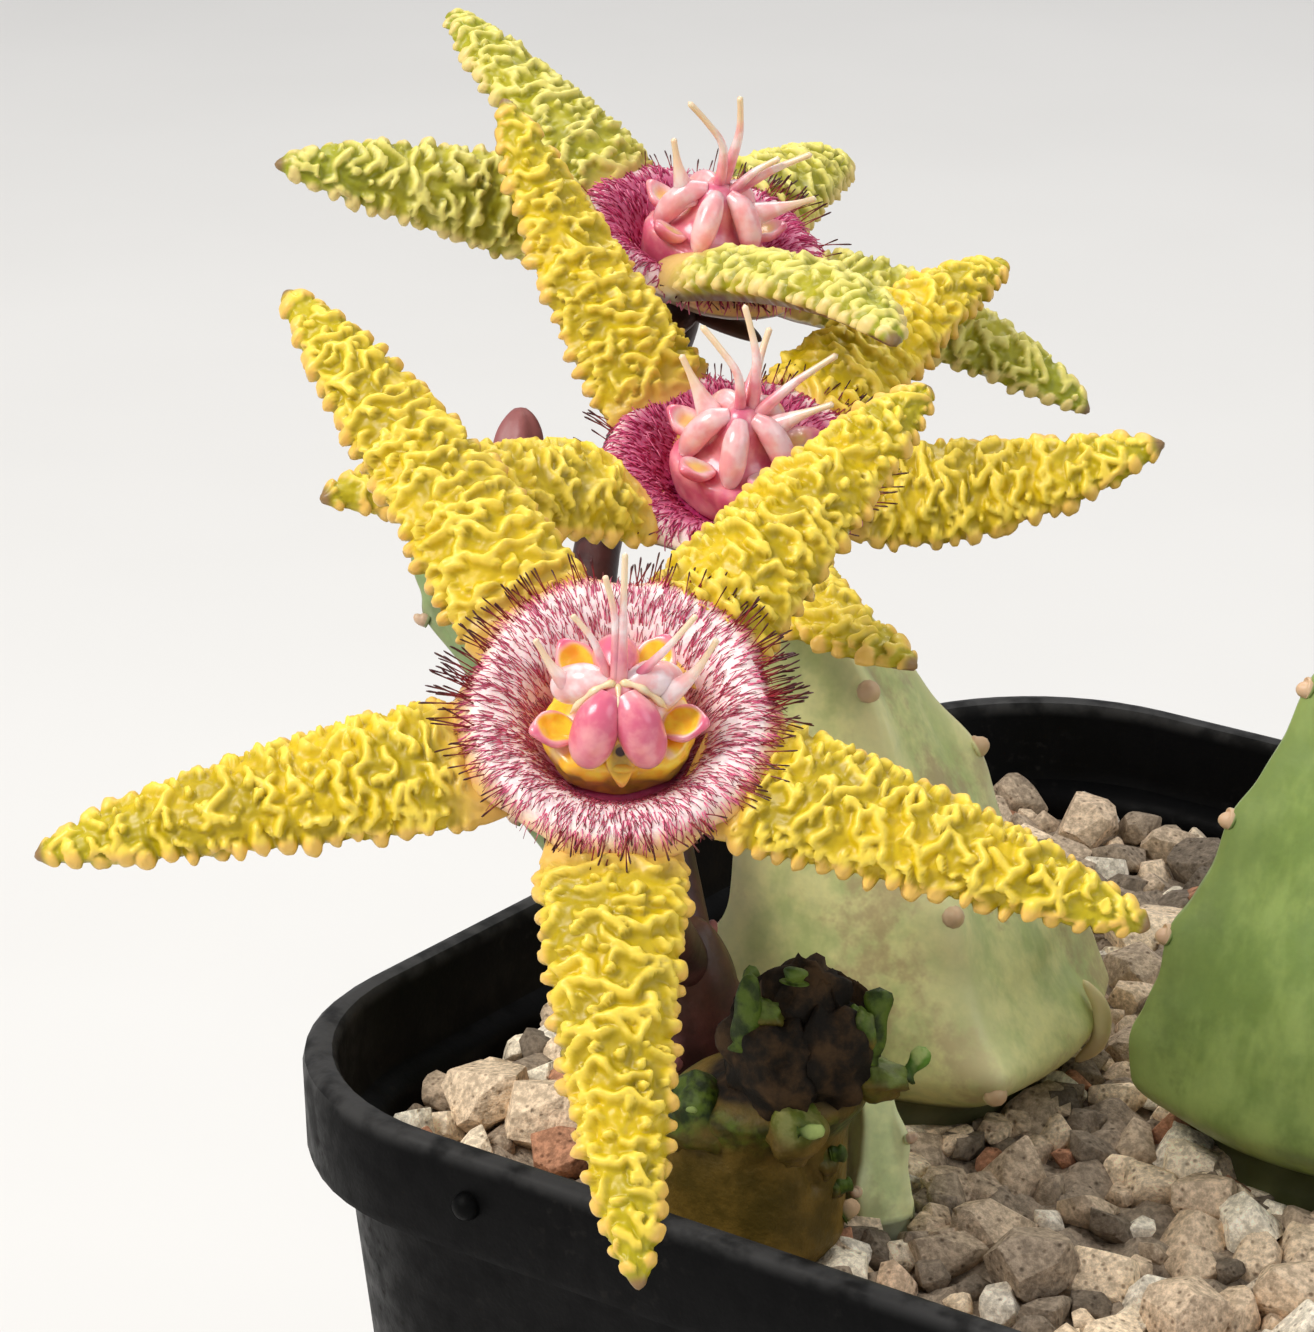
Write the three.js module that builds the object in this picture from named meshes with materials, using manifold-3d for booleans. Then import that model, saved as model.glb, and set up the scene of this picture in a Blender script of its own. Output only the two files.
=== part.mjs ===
// A potted stapelia: a small succulent with fat four-angled stems and three yellow
// star flowers on one branched stalk, standing in grit in a black square pot.
// Millimetres, +Z up. The origin is the middle of the pot's flat underside, and the
// pot's sides run along X and Y. The flowers lean out over the pot's -X, -Y corner.

import * as THREE from 'three';
import { mergeVertices } from 'three/addons/utils/BufferGeometryUtils.js';
import Module from 'manifold-3d';

const wasm = await Module();
wasm.setup();

// The space left between two pieces that touch on the real plant
const GAP = 0.3;

// The pot. Halves are from its middle line to a wall.
const POT = {
  height: 58,
  rimHalf: 30,
  rimCorner: 11,
  wall: 1.2,
  collar: 4.8,
  collarStep: 1.3,
  lip: 0.4,
  lipDrop: 0.5,
  footHalf: 23.8,
  footCorner: 8,
  footChamfer: 0.8,
  floor: 1.5,
  cornerSteps: 5,
  drainRadius: 2.6,
  drainOffset: 13.5,
  pipRadius: 0.6,
  pipX: -15.5,
  pipBelowRim: 2.2,
};

// The grit: its level, how far it heaps up round the stems, and its stones. A stone
// keeps clear of a stem by a share of the stem's girth and a share of its own size,
// and "spacing" is the share of two stones' sizes that keeps them apart.
const GRIT = {
  level: 53.4,
  heap: 1.3,
  heapAt: [-4, 2],
  heapRadius: 26,
  bump: 0.3,
  shoulder: 1,
  topRings: 5,
  stones: 58,
  stoneMin: 2.3,
  stoneMax: 4.1,
  cornerReach: 8.6,
  clearGirth: 0.84,
  clearStone: 0.55,
  spacing: 0.46,
  seed: 11,
};

// Stems stand in round holes. The foot is the buried part and the girth is the largest
// radius over the ribs. "square" is 0 for a round section and 1 for one with flat sides.
// Teeth are the knobs along each rib, and a crown is a ragged rim of them round the top.
// "bend" is the share of the height up to which a stem rises straight before it leans.
const FOOT = { depth: 11, rise: 0.4, holeTop: 12 };
const STEMS = {
  stem_front: {
    foot: [-7.0, -22.6], footRadius: 2.6, top: [-4.6, -24.0, 65.4], bend: 0.35,
    girth: 5.0, waist: 0.4, tip: 0.78, square: 0.6, turn: 8,
    toothGap: 3.4, tooth: 1.2, crown: 2.0, sides: 16, steps: 4, colour: 0x3c4021,
  },
  stem_pale: {
    foot: [-3.7, -17.4], footRadius: 1.3, top: [-3.9, -17.2, 60.2], bend: 0.35,
    girth: 2.0, waist: 0.35, tip: 0.45, square: 0.9, turn: 10,
    toothGap: 4.0, tooth: 0.5, crown: 0, sides: 8, steps: 2, colour: 0x8fa27c,
  },
  stem_middle: {
    foot: [-9.4, -6.8], footRadius: 5.0, top: [-14.6, -8.2, 76.0], bend: 0.35,
    girth: 8.7, waist: 0.24, tip: 0.42, square: 0.7, turn: 55,
    toothGap: 6.6, tooth: 1.1, crown: 0, sides: 16, steps: 4, colour: 0x8c9a70,
  },
  stem_right: {
    foot: [8.6, -2.7], footRadius: 4.8, top: [14.2, 1.6, 84.0], bend: 0.35,
    girth: 8.7, waist: 0.2, tip: 0.48, square: 0.85, turn: 36,
    toothGap: 5.4, tooth: 1.1, crown: 0, sides: 16, steps: 4, colour: 0x5e7d3c,
  },
  stem_left: {
    foot: [-22.2, -9.7], footRadius: 1.9, top: [-33.2, -10.8, 74.4], bend: 0.55,
    girth: 2.7, waist: 0.4, tip: 0.6, square: 0.8, turn: 40,
    toothGap: 4.4, tooth: 0.8, crown: 0, sides: 8, steps: 2, colour: 0x6f7f62,
  },
};

// The flower: a shallow dish that five ridged arms leave, and a crown in its middle.
// "under" is the arm's thickness below its margins.
const DISH = { radius: 5.9, depth: 1.5, thick: 1.1, segments: 16 };
const ARM = {
  root: 3.3, rootSink: 1.5, halfWidth: 2.8, height: 1.8, under: 0.55, backShare: 0.82,
  ridges: 9, ridgeHeight: 0.38, sides: 8, seed: 3,
};
const CROWN = {
  base: 1.5, cup: 2.5, cupHeight: 1.5, cupSides: 8,
  outerReach: 2.4, outerRise: 0.3, outerLean: 28, outerSizes: [1.0, 0.85, 0.42],
  bulbAt: 1.2, bulbHeight: 2.1, bulb: 0.98, spurLength: 3.3, spurLean: 42,
  hornLength: 4.7, hornLean: 24, hornRoot: 0.45, hornCurl: 0.45, thin: 0.34,
};

// Each flower faces the heading "turn" from -Y towards +X, raised by "rise" above the
// level. An arm is [heading in the dish's plane, reach, lift of its tip, how far its
// middle bows up, how far it sways sideways, and how far its face rolls over].
const FLOWERS = [
  {
    name: 'front', centre: [-7.1, -31.6, 78.9], turn: 36.4, rise: 51, seed: 1, colour: 0xe6c11d,
    arms: [[-87, 21.8, -2.2, 0.6, -0.35, 0], [-21, 21, -2.2, 0.5, -0.1, 0],
      [52.5, 20.3, -2.2, 0.6, 0.1, 0], [122, 24.4, -2.2, 0.5, -0.2, 0],
      [192.4, 21.7, -2.2, 0.5, 0.1, 0]],
  },
  {
    name: 'middle', centre: [-17.9, -8.6, 80.9], turn: 46, rise: 66, seed: 2, colour: 0xdfbb20,
    arms: [[-77, 17.6, 4.2, 0.4, -2.0, 0], [-8, 17.8, 2.0, -1.5, 0.2, 24],
      [42, 19.5, -0.8, 0.7, 0.3, 0], [115, 18.6, 6.5, -0.3, 0.6, 0],
      [198, 18.9, 4.3, 0.8, 0.2, -12]],
  },
  {
    name: 'back', centre: [-27.9, 3.0, 86.8], turn: 80, rise: 70, seed: 3, colour: 0xb9b53a,
    arms: [[-112, 18.6, 6.2, 1.0, 0.9, 0], [-56, 18.8, -2.4, 0.8, 0.3, 15],
      [21, 16.8, -3, 0.6, 0, 0], [90, 18.5, 1, 0.6, 1.0, 0],
      [151, 19.8, 1.2, 0.8, 0.2, -40]],
  },
];

// The branched flower stalk: a knobbly stub in the grit, one stalk to each flower
// through a point on its way, and one to a bud. Each flower has five sepals behind it.
const STALK = {
  foot: [-13.4, -17.4], footRadius: 1.6, top: [-12.8, -18.6, 65.0], bend: 0.35,
  girth: 2.2, waist: 0.55, tip: 0.7, square: 0.3, turn: 15,
  toothGap: 4, tooth: 0.45, crown: 0, sides: 8, steps: 3,
  fork: 62.5, radius: 1.0, neck: 3.4, stalkSides: 6, rings: 8,
  ways: { front: [-11.8, -24.2, 69.5], middle: [-17.4, -14.6, 70.5], back: [-24.6, -9.6, 74.0] },
  swelling: [1.35, 1.35, 0.75], sepal: [2.0, 0.9, 0.36],
};
const BUD = {
  way: [-22.8, -15.0, 70.5], foot: [-28.7, -9.8, 78.0], tip: [-29.2, -8.6, 81.2],
  radius: 1.15, folds: 5, foldDepth: 0.14,
};

const COLOURS = { pot: 0x17171a, grit: 0x7c756c, stalk: 0x5b3a35, crown: 0xd3708f };

// Small tools

const radians = THREE.MathUtils.degToRad;
const vector = (x, y, z) => new THREE.Vector3(x, y, z);
const mix = THREE.MathUtils.lerp;

// A number from 0 to 1 that depends only on the three given ones
function draw(a, b, c) {
  const wave = Math.sin(a * 12.9898 + b * 78.233 + c * 37.719 + 4.1) * 43758.5453;
  return wave - Math.floor(wave);
}

// A closed body whose surface point is place(turn, t): turn runs once round it, and
// t runs from 0 at one end to 1 at the other, in equal rings.
function grow(sides, rings, place) {
  const geometry = new THREE.SphereGeometry(1, sides, rings);
  const { position, uv } = geometry.attributes;
  for (let i = 0; i < position.count; i++) {
    const t = 1 - uv.getY(i);
    const atEnd = t < 1e-6 || t > 1 - 1e-6;
    const turn = atEnd ? 0 : -uv.getX(i) * 2 * Math.PI;
    const point = place(turn, t);
    position.setXYZ(i, point.x, point.y, point.z);
  }
  return geometry;
}

function toSolid(geometry) {
  const bare = geometry.clone();
  bare.deleteAttribute('normal');
  bare.deleteAttribute('uv');
  const merged = mergeVertices(bare, 1e-4);
  const vertProperties = new Float32Array(merged.attributes.position.array);
  const triVerts = new Uint32Array(merged.index.array);
  return new wasm.Manifold(new wasm.Mesh({ numProp: 3, vertProperties, triVerts }));
}

function toGeometry(solid) {
  const mesh = solid.getMesh();
  const geometry = new THREE.BufferGeometry();
  geometry.setAttribute('position', new THREE.BufferAttribute(new Float32Array(mesh.vertProperties), 3));
  geometry.setIndex(new THREE.BufferAttribute(new Uint32Array(mesh.triVerts), 1));
  geometry.computeVertexNormals();
  return geometry;
}

function joined(geometries) {
  return geometries.map(toSolid).reduce((whole, next) => whole.add(next));
}

function piece(name, geometry, color, roughness, metalness = 0) {
  const material = new THREE.MeshStandardMaterial({ color, roughness, metalness, flatShading: true });
  const mesh = new THREE.Mesh(geometry, material);
  mesh.name = name;
  return mesh;
}

// A smooth step from 0 below a to 1 above b
function ramp(a, b, x) {
  const s = THREE.MathUtils.clamp((x - a) / (b - a), 0, 1);
  return s * s * (3 - 2 * s);
}

// A round stick along a curve through the points; radiusAt(t) is its radius on the way
function stick(points, radiusAt, sides, rings) {
  const curve = new THREE.CatmullRomCurve3(points);
  return grow(sides, rings, (turn, t) => {
    const centre = curve.getPoint(t);
    if (t < 1e-6 || t > 1 - 1e-6) return centre;
    const along = curve.getTangent(t);
    const reference = Math.abs(along.z) > 0.9 ? vector(0, 1, 0) : vector(0, 0, 1);
    const side = reference.cross(along).normalize();
    const up = along.clone().cross(side);
    return centre
      .addScaledVector(side, radiusAt(t) * Math.cos(turn))
      .addScaledVector(up, radiusAt(t) * Math.sin(turn));
  });
}

// The pot and its grit

// A point on a square with round corners; every point lies on a corner's arc, so the
// straight sides run from the end of one arc to the start of the next.
const SQUARE_SIDES = 4 * (POT.cornerSteps + 1);

function onSquare(turn, half, corner, z) {
  const perCorner = POT.cornerSteps + 1;
  const index = (Math.round(turn / (2 * Math.PI) * SQUARE_SIDES) + SQUARE_SIDES) % SQUARE_SIDES;
  const quarter = Math.floor(index / perCorner);
  const angle = (quarter + (index % perCorner) / POT.cornerSteps) * Math.PI / 2;
  const sx = quarter === 0 || quarter === 3 ? 1 : -1;
  const sy = quarter < 2 ? 1 : -1;
  const radius = Math.min(corner, half);
  return vector(
    sx * (half - radius) + radius * Math.cos(angle),
    sy * (half - radius) + radius * Math.sin(angle),
    z,
  );
}

// A body with a square outline that follows a profile of [half, corner, height]
function squareTurned(profile) {
  const rings = profile.length - 1;
  return grow(SQUARE_SIDES, rings, (turn, t) => {
    const [half, corner, z] = profile[Math.round(t * rings)];
    return half === 0 ? vector(0, 0, z) : onSquare(turn, half, corner, z);
  });
}

// The pot's body below the collar tapers evenly from the collar to the foot.
const collarZ = POT.height - POT.collar;
const bodyHalf = (z) => mix(POT.footHalf, POT.rimHalf - POT.collarStep, z / collarZ);
const bodyCorner = (z) => mix(POT.footCorner, POT.rimCorner - POT.collarStep, z / collarZ);
const insideHalf = (z) => bodyHalf(z) - POT.wall;
const insideCorner = (z) => bodyCorner(z) - POT.wall;

function makePot() {
  const { height, rimHalf, rimCorner, wall, lip, lipDrop, footHalf, footCorner, footChamfer, floor } = POT;
  const solid = toSolid(squareTurned([
    [0, 0, 0],
    [footHalf - footChamfer, footCorner - footChamfer, 0],
    [bodyHalf(footChamfer), bodyCorner(footChamfer), footChamfer],
    [bodyHalf(collarZ), bodyCorner(collarZ), collarZ],
    [rimHalf - lip, rimCorner - lip, collarZ + lip],
    [rimHalf, rimCorner, height - lipDrop],
    [rimHalf - lip, rimCorner - lip, height],
    [rimHalf - wall + lip, rimCorner - wall + lip, height],
    [rimHalf - wall, rimCorner - wall, height - lipDrop],
    [rimHalf - wall - lip, rimCorner - wall - lip, collarZ + wall],
    [insideHalf(collarZ), insideCorner(collarZ), collarZ],
    [insideHalf(floor), insideCorner(floor), floor],
    [0, 0, floor],
  ]));
  const pip = new THREE.SphereGeometry(POT.pipRadius, 8, 6);
  pip.translate(POT.pipX, -rimHalf, height - POT.pipBelowRim);
  let pot = solid.add(toSolid(pip));
  for (const sx of [-1, 1]) {
    for (const sy of [-1, 1]) {
      const drain = new THREE.CylinderGeometry(POT.drainRadius, POT.drainRadius, 3 * floor, 12);
      drain.rotateX(Math.PI / 2).translate(sx * POT.drainOffset, sy * POT.drainOffset, floor / 2);
      pot = pot.subtract(toSolid(drain));
    }
  }
  return piece('pot', toGeometry(pot), COLOURS.pot, 0.5);
}

// The grit's height at a place: a heap round the stems with small bumps on it
function gritHeight(x, y, bumps = true) {
  const out = Math.hypot(x - GRIT.heapAt[0], y - GRIT.heapAt[1]) / GRIT.heapRadius;
  const heap = GRIT.heap * (1 - ramp(0.2, 1, out));
  const bump = bumps ? GRIT.bump * (Math.sin(x * 1.9 + y * 0.7) + Math.sin(y * 2.3 - x * 0.9)) : 0;
  return GRIT.level + heap + bump;
}

const standing = [...Object.values(STEMS), STALK];

// Whether a stone of this size may stand here without touching a stem
function clearOfStems(x, y, size) {
  return standing.every(({ foot, top, girth }) => {
    const dx = x - mix(foot[0], top[0], 0.1);
    const dy = y - mix(foot[1], top[1], 0.1);
    return Math.hypot(dx, dy) > girth * GRIT.clearGirth + size * GRIT.clearStone;
  });
}

// An angular stone: a block with every corner pushed to a place of its own, squashed,
// tilted a little and sunk about half way into the grit
function stone(x, y, size, seed) {
  const shape = new THREE.BoxGeometry(size, size, size);
  shape.deleteAttribute('normal').deleteAttribute('uv');
  const block = mergeVertices(shape);
  const corners = block.attributes.position;
  for (let i = 0; i < corners.count; i++) {
    const push = (axis) => mix(0.62, 1.12, draw(seed, i, axis));
    corners.setXYZ(i, corners.getX(i) * push(7), corners.getY(i) * push(8), corners.getZ(i) * push(9));
  }
  const long = mix(0.95, 1.3, draw(seed, 1, 0));
  const broad = mix(0.8, 1.05, draw(seed, 2, 0));
  const tall = mix(0.6, 0.85, draw(seed, 3, 0));
  block.scale(long, broad, tall);
  block.rotateX((draw(seed, 4, 0) - 0.5) * 0.8).rotateY((draw(seed, 7, 0) - 0.5) * 0.6);
  block.rotateZ(draw(seed, 5, 0) * 2 * Math.PI);
  return block.translate(x, y, gritHeight(x, y, false) + size * mix(-0.05, 0.2, draw(seed, 6, 0)));
}

function makeGrit() {
  const low = POT.floor + GAP;
  const side = (z) => [insideHalf(z) - GAP, insideCorner(z) - GAP, z];
  const rim = side(GRIT.level - GRIT.shoulder);
  const profile = [[0, 0, low], side(low), rim];
  for (let ring = 0; ring < GRIT.topRings; ring++) {
    const share = 1 - (ring + 0.25) / GRIT.topRings;
    profile.push([rim[0] * share, rim[1] * share, 0]);
  }
  profile.push([0, 0, 0]);
  const rings = profile.length - 1;
  const body = grow(SQUARE_SIDES, rings, (turn, t) => {
    const row = Math.round(t * rings);
    const [half, corner, z] = profile[row];
    const point = half === 0 ? vector(0, 0, z) : onSquare(turn, half, corner, z);
    return row > 2 ? point.setZ(gritHeight(point.x, point.y)) : point;
  });
  let grit = toSolid(body);
  const straight = POT.rimHalf - POT.rimCorner;
  const placed = [];
  for (let i = 0; placed.length < GRIT.stones && i < 4000; i++) {
    const size = mix(GRIT.stoneMin, GRIT.stoneMax, draw(i, GRIT.seed, 1));
    const reach = insideHalf(GRIT.level) - GAP - size * 0.75;
    const x = (2 * draw(i, GRIT.seed, 2) - 1) * reach;
    const y = (2 * draw(i, GRIT.seed, 3) - 1) * reach;
    const pastX = Math.max(Math.abs(x) - straight, 0);
    const pastY = Math.max(Math.abs(y) - straight, 0);
    const inside = Math.hypot(pastX, pastY) < GRIT.cornerReach - size * 0.75;
    const apart = placed.every((other) => (
      Math.hypot(x - other.x, y - other.y) > (size + other.size) * GRIT.spacing
    ));
    if (inside && apart && clearOfStems(x, y, size)) {
      grit = grit.add(toSolid(stone(x, y, size, i)));
      placed.push({ x, y, size });
    }
  }
  for (const { foot, footRadius } of standing) {
    const { depth, holeTop } = FOOT;
    const hole = new THREE.CylinderGeometry(footRadius + GAP, footRadius + GAP, depth + holeTop, 16);
    hole.rotateX(Math.PI / 2).translate(foot[0], foot[1], GRIT.level - GAP + (holeTop - depth) / 2);
    grit = grit.subtract(toSolid(hole));
  }
  return piece('grit', toGeometry(grit), COLOURS.grit, 0.95);
}

// The stems

// A stem as rings from its buried foot to its tip, with four ribs and a knob at
// every toothGap along each rib, the knobs of neighbouring ribs half a gap apart
function stemShape(stem) {
  const { foot, footRadius, top, bend, girth, waist, tip, square } = stem;
  const { toothGap, tooth, crown, sides, steps } = stem;
  const ground = gritHeight(foot[0], foot[1], false);
  const height = top[2] - ground;
  const rows = Math.max(6, Math.round(height / toothGap * steps)) + 3;
  const start = vector(foot[0], foot[1], ground);
  const straight = vector(foot[0], foot[1], ground + height * bend);
  const axis = new THREE.QuadraticBezierCurve3(start, straight, vector(...top));
  return grow(sides, rows, (turn, t) => {
    const row = Math.round(t * rows);
    const buried = GRIT.level - FOOT.depth;
    if (row === 0) return vector(foot[0], foot[1], buried);
    if (row <= 2) {
      const z = row === 1 ? buried : ground + FOOT.rise;
      return vector(foot[0] + footRadius * Math.cos(turn), foot[1] + footRadius * Math.sin(turn), z);
    }
    const s = (row - 2) / (rows - 2);
    const centre = axis.getPoint(mix(0.05, 1, s));
    if (row === rows) return centre.setZ(centre.z - crown);
    const swell = mix(footRadius * 1.1, girth, Math.sqrt(ramp(0, waist, s)));
    const taper = mix(1, tip, ramp(waist, 1.05, s));
    const closing = crown > 0 ? 1 : Math.sqrt(Math.max(0, 1 - Math.pow(Math.max(0, (s - 0.78) / 0.24), 2)));
    const fromRib = (((turn - radians(stem.turn)) / (Math.PI / 2)) % 1 + 1.5) % 1 - 0.5;
    const flat = Math.SQRT1_2 / Math.cos(Math.PI / 4 - Math.abs(fromRib) * Math.PI / 2);
    const section = mix(1, flat, square);
    const pair = Math.abs(Math.cos(turn - radians(stem.turn))) > Math.SQRT1_2 ? 0 : 0.5;
    const phase = s * height / toothGap + pair;
    const knob = Math.pow(Math.max(0, Math.cos(Math.PI * (phase - Math.round(phase)) * 1.5)), 2);
    const onRib = Math.max(0, 1 - Math.abs(fromRib) * sides / 4) * ramp(0.02, 0.2, s);
    const rim = row === rows - 1 ? crown * onRib : 0;
    const bead = tooth * onRib * (knob * mix(0.4, 1, closing) + rim * 0.3);
    const size = swell * taper * closing * section + bead;
    return centre.add(vector(size * Math.cos(turn), size * Math.sin(turn), tooth * 0.4 * knob * onRib + rim));
  });
}

function makeStem(name, stem) {
  return piece(name, toGeometry(toSolid(stemShape(stem))), stem.colour, 0.65);
}

// The flowers

function dish() {
  const { radius, depth, thick, segments } = DISH;
  const profile = [
    [0, -depth - thick],
    [radius * 0.3, -depth - thick],
    [radius * 0.62, -depth * 0.6 - thick],
    [radius * 0.94, -thick * 0.95],
    [radius, -thick * 0.45],
    [radius * 0.96, 0],
    [radius * 0.74, -depth * 0.28],
    [radius * 0.52, -depth * 0.86],
    [radius * 0.4, -depth],
    [0, -depth],
  ].map(([r, z]) => new THREE.Vector2(r, z));
  return new THREE.LatheGeometry(profile, segments).rotateX(Math.PI / 2);
}

// An arm: arched over and ridged across its face, hollowed a little at its back,
// broad at the dish and drawn out to a point
function arm([heading, reach, lift, bow, sway, roll], seed) {
  const { root, rootSink, halfWidth, height, under, backShare, ridges, ridgeHeight, sides } = ARM;
  const rows = 2 * ridges + 2;
  const angle = radians(heading);
  const out = vector(Math.cos(angle), Math.sin(angle), 0);
  const across = vector(-Math.sin(angle), Math.cos(angle), 0);
  const start = out.clone().multiplyScalar(root).setZ(-rootSink);
  const end = out.clone().multiplyScalar(reach).setZ(lift);
  const middle = (u) => start.clone().lerp(end, u)
    .addScaledVector(across, sway * 4 * u * (1 - u))
    .add(vector(0, 0, bow * 4 * u * (1 - u)));
  return grow(sides, rows, (turn, t) => {
    const row = Math.round(t * rows);
    if (row === 0 || row === rows) return middle(t);
    const side = ((Math.round(turn / (2 * Math.PI) * sides) % sides) + sides) % sides;
    const face = Math.sin(turn) > -0.1;
    const fade = ramp(0.05, 0.2, t) * ramp(1.02, 0.85, t);
    const shift = face ? (draw(seed, row, side) - 0.5) * 0.6 / rows : 0;
    const u = THREE.MathUtils.clamp(t + shift * fade, 0.01, 0.99);
    const centre = middle(u);
    const along = middle(Math.min(u + 0.02, 1)).sub(middle(Math.max(u - 0.02, 0))).normalize();
    const up = along.clone().cross(across).normalize();
    const facing = (up.z < 0 ? up.negate() : up).applyAxisAngle(along, radians(roll) * ramp(0, 0.45, t));
    const sideways = facing.clone().cross(along).normalize();
    const width = halfWidth * Math.pow(1 - u, 0.55) * mix(0.8, 1, ramp(0, 0.12, u));
    const tall = height * Math.pow(1 - u, 0.45) * mix(0.35, 1, ramp(0, 0.3, u));
    const onCrest = row % 2 === 0;
    const crest = onCrest ? 0.45 + 0.75 * draw(seed + 5, row, side) : -0.5 * draw(seed + 9, row, side);
    const ridge = face ? crest * ridgeHeight * fade : 0;
    const wide = (width + ridge) * Math.cos(turn) * (face ? 1 : backShare);
    const arch = Math.pow(Math.abs(Math.sin(turn)), 0.8);
    const high = face ? arch * (tall + ridge) : -under * (1 - u) * mix(1, 0.45, arch) - 0.12;
    return centre.addScaledVector(sideways, wide).addScaledVector(facing, high);
  });
}

function makeCorolla(flower) {
  const arms = flower.arms.map((values, i) => arm(values, ARM.seed + flower.seed * 10 + i));
  return piece(`corolla_${flower.name}`, toGeometry(joined([dish(), ...arms])), flower.colour, 0.6);
}

// A direction that leaves the flower's axis by "lean" degrees at a heading
function leaning(heading, lean) {
  const a = radians(heading);
  const b = radians(lean);
  return vector(Math.cos(a) * Math.sin(b), Math.sin(a) * Math.sin(b), Math.cos(b));
}

const fromAxis = (heading, radius, z) => leaning(heading, 90).multiplyScalar(radius).setZ(z);

// A rounded lump with half sizes [outwards, sideways, upwards] at a place
function lump(centre, heading, sizes, tilt, sides = 6, rings = 4) {
  const shape = new THREE.SphereGeometry(1, sides, rings).rotateX(Math.PI / 2);
  shape.scale(...sizes).rotateY(-radians(tilt)).rotateZ(radians(heading));
  return shape.translate(centre.x, centre.y, centre.z);
}

// A lobe between two arms: swollen at its root and drawn out to a short blunt spur
function bulb(heading) {
  const { bulbAt, bulbHeight, spurLength, spurLean, thin } = CROWN;
  const shoulder = fromAxis(heading, bulbAt + 0.1, bulbHeight - 0.3);
  const spur = leaning(heading, spurLean);
  const points = [
    fromAxis(heading, bulbAt * 0.5, bulbHeight - 1.5),
    shoulder,
    shoulder.clone().addScaledVector(spur, spurLength * 0.5),
    shoulder.clone().addScaledVector(spur, spurLength).add(vector(0, 0, 0.2)),
  ];
  return stick(points, (t) => mix(CROWN.bulb, thin, ramp(0.3, 0.85, t)), 5, 6);
}

// A long thin horn with a tip that curls outwards
function horn(heading, lean) {
  const { bulbAt, bulbHeight, hornLength, hornRoot, hornCurl, thin } = CROWN;
  const root = fromAxis(heading, bulbAt * 0.5, bulbHeight);
  const way = leaning(heading, lean);
  const points = [
    root,
    root.clone().addScaledVector(way, hornLength * 0.55),
    root.clone().addScaledVector(way, hornLength * 0.9),
    root.clone().addScaledVector(way, hornLength).addScaledVector(fromAxis(heading, 1, -0.15), hornCurl),
  ];
  return stick(points, (t) => mix(hornRoot, thin, t), 3, 5);
}

// The crown: a cup, five hollow lobes in line with the arms, and between the arms
// five swollen lobes, each with a long thin horn
function makeCrown(flower) {
  const { base, cup, cupHeight, cupSides, outerReach, outerRise, outerLean, outerSizes } = CROWN;
  const floor = GAP - DISH.depth;
  const brim = floor + cupHeight;
  const cupProfile = [
    [0, floor], [base, floor], [cup * 0.9, floor + cupHeight * 0.5], [cup, brim],
    [cup * 0.8, brim + 0.1], [CROWN.bulbAt, brim - 0.3], [0, CROWN.bulbHeight],
  ].map(([r, z]) => new THREE.Vector2(r, z));
  const parts = [new THREE.LatheGeometry(cupProfile, cupSides).rotateX(Math.PI / 2)];
  for (let i = 0; i < 5; i++) {
    const alongArm = flower.arms[0][0] + 72 * i;
    const between = alongArm + 36;
    const outerAt = fromAxis(alongArm, outerReach, brim + outerRise);
    parts.push(lump(outerAt, alongArm, outerSizes, outerLean, 5, 3));
    parts.push(bulb(between));
    parts.push(horn(between, CROWN.hornLean * mix(0.5, 1.4, draw(flower.seed, i, 7))));
  }
  return piece(`crown_${flower.name}`, toGeometry(joined(parts)), COLOURS.crown, 0.35);
}

function flowerGroup(flower) {
  const group = new THREE.Group();
  group.position.set(...flower.centre);
  group.rotation.set(radians(90 - flower.rise), 0, radians(flower.turn), 'ZXY');
  group.updateMatrix();
  return group;
}

// The branched stalk

// The five sepals and the swollen end of a stalk behind a flower, in its frame
function calyx(flower) {
  const back = -DISH.depth - DISH.thick - GAP;
  const shapes = [lump(vector(0, 0, back - STALK.swelling[2]), 0, STALK.swelling, 0)];
  for (let i = 0; i < 5; i++) {
    const heading = flower.arms[0][0] + 36 + 72 * i;
    const middle = fromAxis(heading, STALK.sepal[0] * 1.12, back - STALK.sepal[2] * 1.7);
    shapes.push(lump(middle, heading, STALK.sepal, 2, 5, 3));
  }
  return shapes;
}

// The round folded bud
function bud() {
  const foot = vector(...BUD.foot);
  const axis = vector(...BUD.tip).sub(foot);
  return grow(10, 6, (turn, t) => {
    const centre = foot.clone().addScaledVector(axis, t);
    if (t < 1e-6 || t > 1 - 1e-6) return centre;
    const fold = 1 - BUD.foldDepth * (0.5 + 0.5 * Math.cos(BUD.folds * turn));
    const size = BUD.radius * Math.sqrt(Math.sin(Math.PI * t)) * fold;
    return centre.add(vector(size * Math.cos(turn), size * Math.sin(turn), 0));
  });
}

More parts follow.
